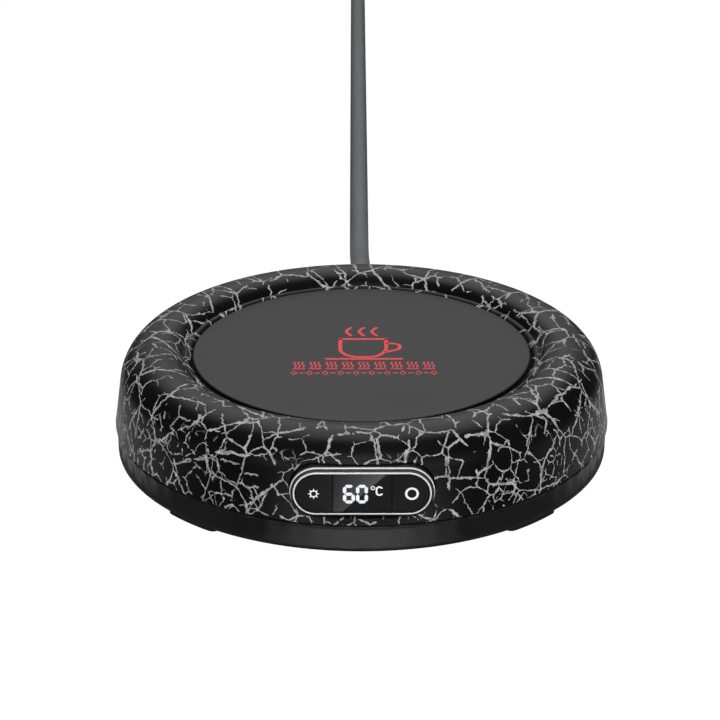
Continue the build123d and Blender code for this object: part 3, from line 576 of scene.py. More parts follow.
def outside_finishes():
    """Plastics, rubbers and ink on the outside: two colours and a gloss, then what the grain is like."""
    return {
        "base": grained(
            "skirt_plastic", grey(0.009, 0.0005), grey(0.012, 0.0005), (0.17, 0.22),
            grain=2500.0, strength=0.2,
        ),
        "seal": grained("seal_rubber", grey(0.003), grey(0.006), (0.7, 0.85)),
        "frame_plastic": grained("sleeve_plastic", grey(0.006), grey(0.01), (0.3, 0.4)),
        "window": grained(
            "smoked_window", grey(0.0145, 0.0005), grey(0.0175, 0.0005), (0.015, 0.03),
            grain=900.0, strength=0.0, cloud=120.0,
        ),
        "cord_sheath": grained(
            "cord_sheath", (0.125, 0.128, 0.131), (0.15, 0.153, 0.157), (0.42, 0.52),
            grain=1800.0, depth=0.00002, strength=0.2, cloud=90.0,
        ),
        "relief": grained(
            "relief_rubber", (0.05, 0.051, 0.053), (0.07, 0.071, 0.073), (0.5, 0.6),
            grain=1600.0, depth=0.00002,
        ),
        "tie": grained("tie_plastic", grey(0.01), grey(0.02), (0.35, 0.5)),
        "plug": grained(
            "plug_plastic", (0.05, 0.051, 0.053), (0.068, 0.069, 0.071), (0.45, 0.58),
            grain=1400.0, depth=0.00004, strength=0.4,
        ),
        "foot": grained(
            "foot_rubber", grey(0.006), grey(0.012), (0.75, 0.9),
            grain=1200.0, depth=0.00003,
        ),
        "print": grained(
            "print_ink", (0.80, 0.050, 0.055), (0.88, 0.064, 0.070), (0.4, 0.5),
            grain=4000.0, depth=0.000005, strength=0.2,
        ),
    }


def inside_finishes():
    """Finishes of the parts inside and of the plated screws, given in the same way."""
    return {
        "heater": grained(
            "heater_sheet", (0.36, 0.22, 0.07), (0.52, 0.36, 0.14), (0.5, 0.7),
            grain=700.0, depth=0.00005, strength=0.4, cloud=200.0,
        ),
        "insulation": grained(
            "insulation_felt", (0.5, 0.49, 0.45), (0.8, 0.79, 0.74), (0.85, 0.98),
            grain=1500.0, depth=0.0002, strength=0.8, cloud=300.0,
        ),
        "screw_steel": grained(
            "zinc_plating", grey(0.5, 0.02), grey(0.66, 0.02), (0.22, 0.38),
            grain=1500.0, depth=0.00001, strength=0.2, cloud=200.0, Metallic=1.0,
        ),
        "sensor": grained("sensor_resin", grey(0.02), grey(0.05), (0.3, 0.5)),
        "sensor_wire": grained("sensor_sleeve", grey(0.45), grey(0.6), (0.4, 0.5)),
        "wire": grained(
            "wire_sleeve", (0.6, 0.58, 0.52), (0.74, 0.72, 0.66), (0.45, 0.6),
            grain=1200.0, depth=0.00002,
        ),
        "board": grained(
            "circuit_board", (0.012, 0.085, 0.035), (0.03, 0.15, 0.06), (0.3, 0.45),
            grain=900.0, depth=0.00002, cloud=350.0,
        ),
        "core_plastic": grained(
            "core_plastic", grey(0.012, 0.001), grey(0.03, 0.002), (0.45, 0.6),
            grain=1800.0, depth=0.00002,
        ),
        "film_box": grained("film_box", (0.5, 0.4, 0.05), (0.66, 0.55, 0.1), (0.3, 0.45)),
        "fuse_glass": grained(
            "fuse_glass", (0.6, 0.62, 0.6), (0.7, 0.72, 0.7), (0.04, 0.08),
            Transmission_Weight=0.7,
        ),
        "terminal_plastic": grained(
            "terminal_plastic", (0.02, 0.16, 0.06), (0.04, 0.24, 0.09), (0.4, 0.5),
        ),
        "connector_plastic": grained(
            "connector_plastic", (0.66, 0.63, 0.55), (0.8, 0.77, 0.68), (0.4, 0.5),
        ),
        "ribbon": grained(
            "ribbon_film", grey(0.35, 0.02), grey(0.5, 0.02), (0.35, 0.5),
            grain=600.0, depth=0.00002,
        ),
        "plunger_plastic": grained("plunger_plastic", grey(0.4), grey(0.5), (0.4, 0.5)),
    }


def metals():
    """Sheet and turned metals: colours, gloss and the stretch of their lines along x, y and z."""
    return {
        "blade": drawn(
            "blade_brass", (0.62, 0.47, 0.2), (0.8, 0.64, 0.34), (0.18, 0.32), (200.0, 3000.0, 3000.0)
        ),
        "sheet_steel": drawn(
            "bracket_steel", grey(0.42, 0.01), grey(0.62, 0.01), (0.28, 0.42), (3000.0, 120.0, 120.0)
        ),
        "fuse_metal": drawn(
            "fuse_can", (0.5, 0.48, 0.45), (0.68, 0.66, 0.62), (0.2, 0.35), (100.0, 2500.0, 2500.0)
        ),
        "can": drawn(
            "capacitor_can", grey(0.42, 0.02), grey(0.58, 0.02), (0.22, 0.36), (2500.0, 2500.0, 100.0)
        ),
    }


finishes = {
    "shell": crackle_lacquer(),
    "plate": coated_plate(),
    "bezel": satin_bezel(),
    "light": lit_segments(),
    **outside_finishes(),
    **inside_finishes(),
    **metals(),
}


# Mesh helpers. All meshes are drawn in millimetres.


def bridge(mesh, first, second):
    """Faces between two loops. A loop of one vertex is a pole."""
    count = max(len(first), len(second))
    for index in range(count):
        after = (index + 1) % count
        corners = []
        for loop, step in ((first, index), (first, after), (second, after), (second, index)):
            vertex = loop[step % len(loop)]
            if vertex not in corners:
                corners.append(vertex)
        mesh.faces.new(corners)


def level_loops(mesh, levels):
    """Loops of new vertices, each from its (corners, height)."""
    return [[mesh.verts.new((*corner, height)) for corner in corners] for corners, height in levels]


def skinned(mesh, loops, closed=True):
    """Faces from each loop to the next, and from the last to the first or over both ends."""
    for first, second in zip(loops, loops[1:]):
        bridge(mesh, first, second)
    if closed:
        bridge(mesh, loops[-1], loops[0])
    else:
        mesh.faces.new(loops[0])
        mesh.faces.new(loops[-1])


def turned(mesh, profile, steps=turn_steps, x=0.0, y=0.0):
    """A solid of revolution about an upright axis. The profile is (radius, height) points."""
    loops = []
    for radius, height in profile:
        loop = []
        for index in range(steps if radius else 1):
            angle = 2 * math.pi * index / steps
            loop.append(mesh.verts.new((x + radius * math.cos(angle), y + radius * math.sin(angle), height)))
        loops.append(loop)
    for first, second in zip(loops, loops[1:]):
        bridge(mesh, first, second)
    if profile[0][0]:
        bridge(mesh, loops[-1], loops[0])


def arc(centre, radius, start, end, steps=arc_steps):
    """Points on an arc in the plane of revolution, from one angle in degrees to another."""
    points = []
    for index in range(steps + 1):
        angle = math.radians(start + (end - start) * index / steps)
        points.append((centre[0] + radius * math.cos(angle), centre[1] + radius * math.sin(angle)))
    return points


def between(start, end, steps):
    """Points on a straight line, without its ends."""
    return [tuple(a + (b - a) * index / steps for a, b in zip(start, end)) for index in range(1, steps)]


def rounded_corner(before, corner, after, reach):
    """Points on a soft curve in place of a corner."""
    start = corner + (before - corner).normalized() * reach
    end = corner + (after - corner).normalized() * reach
    shares = [step / corner_steps for step in range(corner_steps + 1)]
    return [start * (1 - share) ** 2 + corner * 2 * share * (1 - share) + end * share**2 for share in shares]


def stadium_loop(mesh, radius, distance):
    """A stadium about the display's middle, at a distance in front of the body's axis."""
    outline = arc((pod_half, 0), radius, -90, 90, pod_end_steps)
    outline += between((pod_half, radius), (-pod_half, radius), pod_side_steps)
    outline += arc((-pod_half, 0), radius, 90, 270, pod_end_steps)
    outline += between((-pod_half, -radius), (pod_half, -radius), pod_side_steps)
    return [mesh.verts.new((x, -distance, display_height + z)) for x, z in outline]


def stadium_sweep(mesh, profile, closed=True):
    """A profile of (radius, distance) points, swept round the stadium."""
    skinned(mesh, [stadium_loop(mesh, radius, distance) for radius, distance in profile], closed)


def disc_prism(mesh, radius, bottom, top, x, y):
    turned(mesh, [(0, bottom), (radius, bottom), (radius, top), (0, top)], post_steps, x, y)


def tube(mesh, outer, inner, bottom, top, x=0.0, y=0.0, steps=post_steps):
    turned(mesh, [(inner, bottom), (outer, bottom), (outer, top), (inner, top)], steps, x, y)


def box_mesh(size, bottom, top, y):
    """A box with its middle at y, of a size across and along."""
    mesh = bmesh.new()
    bmesh.ops.create_cube(mesh, size=1.0)
    bmesh.ops.scale(mesh, vec=(*size, top - bottom), verts=mesh.verts)
    bmesh.ops.translate(mesh, vec=(0, y, (top + bottom) / 2), verts=mesh.verts)
    return mesh


def along_cord(profile):
    """A solid of revolution about the cord's line through the rear wall, from (radius, y) points."""
    mesh = bmesh.new()
    turned(mesh, profile, cord_turn_steps)
    place = Matrix.Translation((0, 0, exit_height)) @ Matrix.Rotation(math.radians(-90), 4, "X")
    bmesh.ops.transform(mesh, matrix=place, verts=mesh.verts)
    return mesh


def tidied(mesh):
    bmesh.ops.remove_doubles(mesh, verts=mesh.verts, dist=merge_distance)
    bmesh.ops.recalc_face_normals(mesh, faces=mesh.faces)
    return mesh


def as_data(name, mesh):
    """The drawn mesh as mesh data. The drawing is freed."""
    data = bpy.data.meshes.new(name)
    mesh.to_mesh(data)
    mesh.free()
    return data


def finished(name, mesh, finish, sharp=sharp_angle):
    """Turns a drawn mesh into a piece in metres, with its finish, on the housing."""
    bmesh.ops.scale(tidied(mesh), vec=(MM, MM, MM), verts=mesh.verts)
    data = as_data(name, mesh)
    data.shade_smooth()
    data.set_sharp_from_angle(angle=math.radians(sharp))
    data.materials.append(finishes[finish])
    piece = linked(name, data)
    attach(piece, "housing")
    return piece


def stand_in(name, mesh, node, slot, sharp=sharp_angle):
    """A finished piece in place of one node, which it hides, with the finish of the given slot."""
    piece = finished(name, mesh, slot, sharp)
    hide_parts(node)
    return piece


def evaluated_mesh(obj):
    """The object's mesh with its modifiers applied."""
    bpy.context.view_layer.update()
    return bpy.data.meshes.new_from_object(obj.evaluated_get(bpy.context.evaluated_depsgraph_get()))


def join(mesh, other):
    """Adds another drawn mesh to this one."""
    data = as_data("joining", other)
    mesh.from_mesh(data)
    bpy.data.meshes.remove(data)


def cut(mesh, *cutters):
    """The drawn mesh less each cutter, by exact boolean."""
    objects = [linked("cutting", as_data("cutting", tidied(part))) for part in (mesh, *cutters)]
    for cutter in objects[1:]:
        step = objects[0].modifiers.new("cut", "BOOLEAN")
        step.operation = "DIFFERENCE"
        step.solver = "EXACT"
        step.object = cutter
    result = bmesh.new()
    result.from_mesh(evaluated_mesh(objects[0]))
    for obj in objects:
        bpy.data.objects.remove(obj)
    return result


# Shell, plate and seal


def wall_lean():
    """The angle in degrees by which the outer wall leans in, and where it meets the rounding."""
    drop, out = overall_height - rim_round - parting_height, body_radius - rim_radius
    return math.degrees(math.acos(rim_round / math.hypot(out, drop)) - math.atan2(drop, out))


def rim_line(depth):
    """Wall, rounding and slope on the face that lies depth inside the outer skin."""
    lean = wall_lean()
    rounding = arc((rim_radius, overall_height - rim_round), rim_round - depth, lean, 90, rounding_steps)
    top_radius, top_height = rounding[0]
    foot = (top_radius + (top_height - parting_height) * math.tan(math.radians(lean)), parting_height)
    slope_width = rim_radius - crease_radius
    radius = (slope_width**2 + rim_depth**2) / (2 * rim_depth)
    centre = (rim_radius, overall_height - radius)
    end = math.degrees(math.atan2(crease_height - centre[1], -slope_width))
    slope = arc(centre, radius - depth, 90, end, slope_steps)
    return [foot] + between(foot, rounding[0], wall_steps) + rounding + slope[1:]


def bead_line():
    """The low bead between the slope's foot and the opening: a soft rise and a longer fall."""
    rise_steps, fall_steps = 6, 12
    crest = crease_radius - bead_inset
    points = []
    for index in range(1, rise_steps + 1):
        share = index / rise_steps
        rise = bead_height * (0.5 - 0.5 * math.cos(math.pi * share))
        points.append((crease_radius - bead_inset * share, crease_height + rise))
    for index in range(1, fall_steps + 1):
        share = index / fall_steps
        fall = (bead_height + bead_drop) * share**bead_fall
        points.append((crest + (opening_radius - crest) * share, crease_height + bead_height - fall))
    return points


def crackle_shell():
    outer, inner = rim_line(0), rim_line(wall)
    foot = outer[0]
    edge = [(foot[0] - shell_edge, foot[1]), (foot[0] - shell_edge * 0.3, foot[1] + shell_edge * 0.3)]
    outer[0] = (foot[0], foot[1] + shell_edge)
    throat = [
        (opening_radius, ledge_top),
        (ledge_inner, ledge_top),
        (ledge_inner, ledge_bottom),
        (opening_radius + wall, ledge_bottom),
        (opening_radius + wall, crease_height - wall),
    ]
    mesh = bmesh.new()
    turned(mesh, edge + outer + bead_line() + throat + inner[::-1])
    mouth = bmesh.new()
    mouth_radius = pod_radius + mouth_gap
    opening = [(mouth_radius, frame_back), (mouth_radius, body_radius + cutter_past)]
    stadium_sweep(mouth, opening, closed=False)
    mesh = cut(mesh, mouth, exit_bar())
    for angle in corner_angles:
        place = around(base_screw_circle, angle)
        disc_prism(mesh, shell_boss_radius, shell_boss_bottom, shell_boss_top, *place)
    land_radius = pod_radius + frame_flange
    land = [(mouth_radius, frame_flange_front), (land_radius, frame_flange_front)]
    stadium_sweep(mesh, land + [(land_radius, land_front), (mouth_radius, land_front)])
    shell = stand_in("crackle_shell", mesh, "upper_shell", "shell")
    crackle_map(shell.data, rim_line(0) + bead_line())


def exit_bar():
    """What the strain relief's neck passes through."""
    start, end = exit_cut
    radius = relief_neck + mouth_gap
    return along_cord([(0, start), (radius, start), (radius, end), (0, end)])


def crackle_map(data, line):
    """Lays the skin out as a flat ring, without a seam, and as large one way as the other."""
    spans = []
    start = 0.0
    for a, b in zip(line, line[1:]):
        length = math.dist(a, b)
        reach = length * body_radius * 2 / (a[0] + b[0])
        spans.append((a, b, length, start, reach))
        start += reach
    found = {}

    def position(radius, height):
        """How far along the line its nearest point lies."""
        key = (round(radius, 2), round(height, 2))
        if key not in found:
            choices = []
            for a, b, length, start, reach in spans:
                share = ((key[0] - a[0]) * (b[0] - a[0]) + (key[1] - a[1]) * (b[1] - a[1])) / length**2
                share = min(1, max(0, share))
                near = math.dist(key, (a[0] + (b[0] - a[0]) * share, a[1] + (b[1] - a[1]) * share))
                choices.append((near, start + reach * share))
            found[key] = min(choices, key=lambda choice: choice[0])[1]
        return found[key]

    layer = data.uv_layers.new(name="crackle_map")
    for loop, place in zip(data.loops, layer.data):
        spot = data.vertices[loop.vertex_index].co
        radius = math.hypot(spot.x, spot.y)
        shrink = math.exp(-position(radius / MM, spot.z / MM) / body_radius)
        outward = body_radius * MM * shrink / radius
        place.uv = (spot.x * outward, spot.y * outward)


def hot_plate():
    mesh = bmesh.new()
    top = [(radius, plate_top) for radius in (0, *plate_rings)]
    edge = arc((plate_radius - plate_edge, plate_top - plate_edge), plate_edge, 90, 0, corner_steps)
    turned(mesh, top + edge + [(plate_radius, plate_bottom), (0, plate_bottom)])
    for angle in plate_boss_angles:
        place = around(plate_boss_circle, angle)
        disc_prism(mesh, plate_boss_radius, ledge_bottom, plate_bottom + plate_boss_reach, *place)
    stand_in("hot_plate", mesh, "heating_plate", "plate")


def plate_seal():
    mesh = bmesh.new()
    middle = (plate_radius + opening_radius) / 2
    dish = [(plate_radius, seal_top), (middle, seal_top - seal_dish), (opening_radius, seal_top)]
    flange = [(opening_radius, ledge_top), (seal_flange_inner, ledge_top)]
    turned(mesh, dish + flange + [(seal_flange_inner, plate_bottom), (plate_radius, plate_bottom)])
    stand_in("plate_seal", mesh, "plate_gasket", "seal", sharp=60.0)


# Base

skirt_lengths = {
    "Flute Depth": flute_depth,
    "Top Radius": skirt_top_radius,
    "Foot Radius": skirt_foot_radius,
    "Inner Radius": skirt_inner,
    "Bottom": base_bottom,
    "Top": base_top,
    "Edge Rounding": skirt_edge,
}


def skirt_tree():
    """Geometry nodes: a rounded section, turned round the body, with shallow flutes in its outer face."""
    points_per_flute, section_points = 6.0, 65
    flutes_start, flutes_full = 0.0004, 0.0045  # above the bottom
    outside_start, outside_full = 0.0012, 0.0003  # inside the foot's radius
    tree = bpy.data.node_groups.new("fluted_skirt", "GeometryNodeTree")
    kinds = {"Geometry": "Geometry", "Flutes": "Int", "Finish": "Material"}
    kinds.update(dict.fromkeys(skirt_lengths, "Float"))
    for label, kind in kinds.items():
        tree.interface.new_socket(name=label, in_out="INPUT", socket_type="NodeSocket" + kind)
    tree.interface.new_socket(name="Geometry", in_out="OUTPUT", socket_type="NodeSocketGeometry")
    given = tree.nodes.new("NodeGroupInput").outputs
    result = tree.nodes.new("NodeGroupOutput")

    section = add_node(tree, "GeometryNodeCurvePrimitiveQuadrilateral", mode="POINTS")
    corners = (("Inner", "Bottom"), ("Foot", "Bottom"), ("Top", "Top"), ("Inner", "Top"))
    for index, (side, height) in enumerate(corners):
        corner = add_node(tree, "ShaderNodeCombineXYZ", {"X": given[side + " Radius"], "Y": given[height]})
        tree.links.new(corner.outputs[0], section.inputs[f"Point {index + 1}"])
    rounded = add_node(
        tree,
        "GeometryNodeFilletCurve",
        {"Curve": section.outputs[0], "Count": 5, "Radius": given["Edge Rounding"], "Limit Radius": True},
        mode="POLY",
    )
    across = plus(tree, times(tree, given["Flutes"], points_per_flute), 1.0)
    sizes = {"Size X": 1.0, "Size Y": 1.0, "Vertices X": across, "Vertices Y": section_points}
    grid = add_node(tree, "GeometryNodeMeshGrid", sizes)
    place = separated(tree, add_node(tree, "GeometryNodeInputPosition").outputs[0])
    angle = times(tree, plus(tree, place["X"], 0.5), 2 * math.pi)
    sample = add_node(
        tree,
        "GeometryNodeSampleCurve",
        {"Curves": rounded.outputs[0], "Factor": plus(tree, place["Y"], 0.5)},
        mode="FACTOR",
        use_all_curves=True,
    )
    at = separated(tree, sample.outputs["Position"])
    foot = given["Foot Radius"]
    outside = ramp(tree, at["X"], minus(tree, foot, outside_start), minus(tree, foot, outside_full))
    wave = maths(tree, "COSINE", times(tree, angle, given["Flutes"]))
    fade_from, fade_to = (plus(tree, given["Bottom"], height) for height in (flutes_start, flutes_full))
    depth = times(tree, given["Flute Depth"], ramp(tree, at["Y"], fade_from, fade_to))
    hollow = times(tree, ramp(tree, wave, 0.9, -0.9), depth)
    radius = minus(tree, at["X"], times(tree, hollow, outside))
    x = times(tree, radius, maths(tree, "COSINE", angle))
    y = times(tree, radius, maths(tree, "SINE", angle))
    spot = add_node(tree, "ShaderNodeCombineXYZ", {"X": x, "Y": y, "Z": at["Y"]}).outputs[0]
    made = grid.outputs["Mesh"]
    for kind, values in (
        ("SetPosition", {"Position": spot}),
        ("MergeByDistance", {"Distance": 0.000002}),
        ("RealizeInstances", {}),
        ("SetMaterial", {"Material": given["Finish"]}),
    ):
        made = add_node(tree, "GeometryNode" + kind, {"Geometry": made, **values}).outputs[0]
    tree.links.new(made, result.inputs[0])
    return tree


def grown(name, tree, values):
    """The plain mesh that a geometry node tree makes with the given inputs."""
    holder = linked(name, bpy.data.meshes.new(name))
    step = holder.modifiers.new(name, "NODES")
    step.node_group = tree
    for item in tree.interface.items_tree:
        if item.in_out == "INPUT" and item.name in values:
            step[item.identifier] = values[item.name]
    data = evaluated_mesh(holder)
    holder.modifiers.remove(step)
    bpy.data.objects.remove(holder)
    return data


def fluted_base():
    values = {label: length * MM for label, length in skirt_lengths.items()}
    values.update({"Flutes": flute_count, "Finish": finishes["base"]})
    mesh = bmesh.new()
    mesh.from_mesh(grown("fluted_skirt", skirt_tree(), values))
    bmesh.ops.scale(mesh, vec=(1 / MM, 1 / MM, 1 / MM), verts=mesh.verts)
    mesh = cut(mesh, exit_bar())
    panel_radius = skirt_inner + panel_reach
    turned(mesh, [(0, base_bottom), (panel_radius, base_bottom), (panel_radius, panel_top), (0, panel_top)])
    lip = bmesh.new()
    tube(lip, lip_outer, lip_inner, base_top - lip_root, lip_top, steps=turn_steps)
    at_display = box_mesh(lip_gap_display, base_bottom, lip_top + cutter_past, -lip_outer)
    at_cord = box_mesh(lip_gap_cord, base_bottom, lip_top + cutter_past, lip_outer)
    join(mesh, cut(lip, at_display, at_cord))
    for angle in corner_angles:
        place = around(base_screw_circle, angle)
        tube(mesh, post_radius, post_bore, panel_top - joined_depth, post_top, *place)
    stand_in("fluted_base", mesh, "base_cover", "base")


def rubber_feet():
    """Arc-shaped pads that reach almost to the skirt's edge."""
    steps = 12
    for node, middle in foot_places.items():
        turns = [middle - foot_angle / 2 + foot_angle * step / steps for step in range(steps + 1)]
        outline = [Vector(around(foot_outer, turn)) for turn in turns]
        outline += [Vector(around(foot_inner, turn)) for turn in turns[::-1]]
        ring = pad_outline(outline, sharp=(0, steps, steps + 1, 2 * steps + 1))
        centre = Vector(around((foot_inner + foot_outer) / 2, middle))
        levels = []
        for height, share in ((0.0, foot_bottom_share), (foot_edge, 1.0), (foot_top, 1.0)):
            levels.append(([centre + (point - centre) * share for point in ring], height))
        mesh = bmesh.new()
        skinned(mesh, level_loops(mesh, levels), closed=False)
        stand_in("rubber_" + node, mesh, node, "foot")


def pad_outline(outline, sharp):
    """The outline with round corners at the points whose places are in sharp."""
    points = []
    for index, point in enumerate(outline):
        if index in sharp:
            before, after = outline[index - 1], outline[(index + 1) % len(outline)]
            points += rounded_corner(before, point, after, foot_corner)
        elif all((point - outline[corner]).length > foot_corner for corner in sharp):
            points.append(point)
    return points


# Display


def bezel():
    bead_outer = ring_inner + ring_bead_width
    crest = ring_bead_width / 2
    lip_inner_radius = pod_radius - ring_lip_width
    lip_back = ring_lip_front - ring_lip_round
    profile = [
        (pod_radius, ring_back),
        (pod_radius, lip_back),
        (pod_radius - ring_lip_round, ring_lip_front),
        (lip_inner_radius + ring_lip_round, ring_lip_front),
        (lip_inner_radius, lip_back),
        (lip_inner_radius - ring_lip_draft, groove_front + groove_round),
        (lip_inner_radius - ring_lip_round, groove_front),
        (bead_outer + groove_round, groove_front),
        (bead_outer, groove_front + groove_round),
    ]
    profile += arc((ring_inner + crest, ring_front - crest), crest, 0, 180, bead_steps)
    mesh = bmesh.new()
    stadium_sweep(mesh, profile + [(ring_inner, ring_back)])
    ring = stand_in("bezel_rim", mesh, "bezel_ring", "bezel", sharp=50.0)
    painted_shade_marks(ring.data)


def painted_shade_marks(data):
    """Marks the painted shade on the ring: its groove, its inner edge and the underside of its lip, with the
    lip's front and the groove painted lighter where they face up.
    """
    lip_mark, lip_change, lip_side_mark, groove_change = 0.42, 1.6, 0.85, 0.07
    inner_edge, bead_depth = 0.09, 0.22
    marks = data.attributes.new("groove", "FLOAT", "POINT")
    for vertex, mark in zip(data.vertices, marks.data):
        x, depth, rise = vertex.co.x / MM, -vertex.co.y / MM, vertex.co.z / MM - display_height
        radius = math.hypot(max(abs(x) - pod_half, 0.0), rise)
        upward = rise / radius
        # Painted light and shade: the lip's front is light on top and dark below, and its side is dark. The
        # groove is dark and a little lighter where it faces up. The inner edge is dark.
        if radius > pod_radius - ring_lip_width - 0.01:
            on_top = depth > ring_lip_front - 0.1
            mark.value = min(1.0, max(0.0, lip_mark - lip_change * upward)) if on_top else lip_side_mark
        elif depth < ring_front - bead_depth and radius > ring_inner + ring_bead_width / 2:
            mark.value = 1.0 - groove_change * max(0.0, upward)
        else:
            mark.value = 1.0 if radius < ring_inner + inner_edge else 0.0


def display_sleeve():
    inner, flange = pod_radius - frame_wall, pod_radius + frame_flange
    profile = [
        (inner, frame_back),
        (flange, frame_back),
        (flange, frame_flange_front),
        (pod_radius, frame_flange_front),
        (pod_radius, ring_back - frame_edge),
        (pod_radius - frame_edge, ring_back),
        (inner, ring_back),
    ]
    mesh = bmesh.new()
    stadium_sweep(mesh, profile)
    stand_in("display_sleeve", mesh, "display_frame", "frame_plastic")


# Cord's strain relief


def relief_profile():
    steps = 150
    profile = [(0, relief_flange_back), (relief_flange_radius, relief_flange_back)]
    profile += [(relief_flange_radius, relief_flange_front), (relief_neck, relief_flange_front)]
    for index in range(steps + 1):
        share = index / steps
        radius = relief_neck + (relief_end - relief_neck) * share
        beat = share * (relief_grooves + 1)
        near = abs(beat - round(beat)) / relief_groove_reach
        if 0.5 < beat < relief_grooves + 0.5 and near < 1:
            radius -= relief_groove_depth * (0.5 + 0.5 * math.cos(math.pi * near))
        profile.append((radius, body_radius + relief_length * share))
    tip = body_radius + relief_length + relief_tip[1]
    return profile + [(cord_radius + relief_tip[0], tip), (0, tip)]


def strain_relief():
    return stand_in("cord_relief", along_cord(relief_profile()), "strain_relief", "relief", sharp=55.0)


# Print on the plate


def stroke(mesh, points, width, closed=False):
    """A printed line on the plate, with round ends or as a closed loop."""
    points = [Vector(point) for point in points]
    count = len(points)
    left, right = [], []
    for index, point in enumerate(points):
        before = points[index - 1] if index or closed else point
        after = points[(index + 1) % count] if index < count - 1 or closed else point
        way = (after - before).normalized()
        side = Vector((-way.y, way.x)) * width / 2
        left.append(point + side)
        right.append(point - side)
    if closed:
        rings = ((left, print_bottom), (left, print_top), (right, print_top), (right, print_bottom))
        skinned(mesh, level_loops(mesh, rings))
        return
    first, last = left[0] - points[0], right[-1] - points[-1]
    turns = [Matrix.Rotation(math.pi * step / cap_steps, 2) for step in range(1, cap_steps)]
    start_cap = [points[0] + turn @ first for turn in turns]
    end_cap = [points[-1] + turn @ last for turn in turns]
    prism(mesh, left[::-1] + start_cap + right + end_cap)


def prism(mesh, corners):
    """A printed patch."""
    skinned(mesh, level_loops(mesh, ((corners, print_bottom), (corners, print_top))), closed=False)


def rounded_line(points, radius):
    """The points with all but the end ones rounded."""
    points = [Vector(point) for point in points]
    made = [points[0]]
    for before, corner, after in zip(points, points[1:], points[2:]):
        reach = min(radius, (before - corner).length / 2, (after - corner).length / 2)
        made += rounded_corner(before, corner, after, reach)
    return made + [points[-1]]


def mug_mark(mesh, middle):
    """A plain mug on a line, with three curls of steam."""

    def moved(*points):
        return [(x + middle, y) for x, y in points]

    side = moved((-6.2, 7.4), (-6.2, -1.2), (-3.2, -4.3), (3.1, -4.3), (5.9, -0.6), (5.9, 7.4))
    stroke(mesh, rounded_line(side, 2.6), 1.0)
    prism(mesh, moved((-6.7, 7.2), (6.4, 7.2), (6.4, 8.3), (-6.7, 8.3)))
    handle = moved((6.4, 4.9), (9.4, 4.3), (9.6, 1.0), (6.0, -0.9))
    stroke(mesh, rounded_line(handle, 1.8), 0.95)
    stroke(mesh, moved((-9.7, -5.5), (9.7, -5.5)), 1.0)
    steps, bottom, height, swing = 12, 10.2, 5.3, 1.2
    for offset in (-3.4, 0.0, 3.4):
        curl = []
        for share in (step / steps for step in range(steps + 1)):
            curl.append((offset + middle - swing * math.sin(math.pi * share), bottom + height * share))
        stroke(mesh, curl, 0.85)


def heat_signs(mesh, middle):
    """A row of signs, each of three waves over a line."""
    count, spacing, steps, bottom, height, swing = 9, 4.2, 10, -11.0, 3.4, 0.3
    for index in range(count):
        x = middle + (index - (count - 1) / 2) * spacing
        for offset in (-1.05, 0.0, 1.05):
            wave = []
            for step in range(steps + 1):
                sway = swing * math.sin(2 * math.pi * step / steps)
                wave.append((x + offset + sway, bottom + height * step / steps))
            stroke(mesh, wave, 0.4)
        stroke(mesh, [(x - 1.4, -11.9), (x + 1.4, -11.9)], 0.45)


def diamond_row(mesh, middle):
    """Small open diamonds with dashes between them."""
    count, spacing, y, half_width, half_height, half_dash = 19, 2.0, -14.6, 0.7, 1.3, 0.45
    for index in range(count):
        x = middle + (index - (count - 1) / 2) * spacing
        if index % 2:
            stroke(mesh, [(x - half_dash, y), (x + half_dash, y)], 0.5)
        else:
            diamond = [(x - half_width, y), (x, y - half_height), (x + half_width, y), (x, y + half_height)]
            stroke(mesh, diamond, 0.36, closed=True)


def plate_print():
    mesh = bmesh.new()
    for draw in (mug_mark, heat_signs, diamond_row):
        draw(mesh, print_middle)
    finished("plate_print", mesh, "print")


# Carried-over nodes


def dress_frame_nodes():
    slots = {row["node"]: row["material_slot"] for row in frame["record"]["subparts"]}
    for name, node in frame["nodes"].items():
        node.data.materials.clear()
        node.data.materials.append(finishes[slots[name]])


# Studio. Its lengths are in metres, and those of the cards' shapes in millimetres.

lamps = {
    "key_softbox": ((0.0, -1.0, 1.0), 2.5),
    "left_softbox": ((-1.5, -0.5, 0.5), 0.9),
    "right_softbox": ((1.5, -0.5, 0.5), 1.6),
}
lamp_aim = Vector((0, 0, 0.02))
lamp_size = 0.8
lamp_spread = 70


def soft_light(name, place, power):
    lamp = bpy.data.lights.new(name, "AREA")
    lamp.shape = "RECTANGLE"
    lamp.size = lamp.size_y = lamp_size
    lamp.energy = power
    lamp.spread = math.radians(lamp_spread)
    light = linked(name, lamp)
    away = (Vector(place) - lamp_aim).to_track_quat("Z", "Y")
    light.matrix_world = Matrix.Translation(place) @ away.to_matrix().to_4x4()
    light.visible_glossy = False


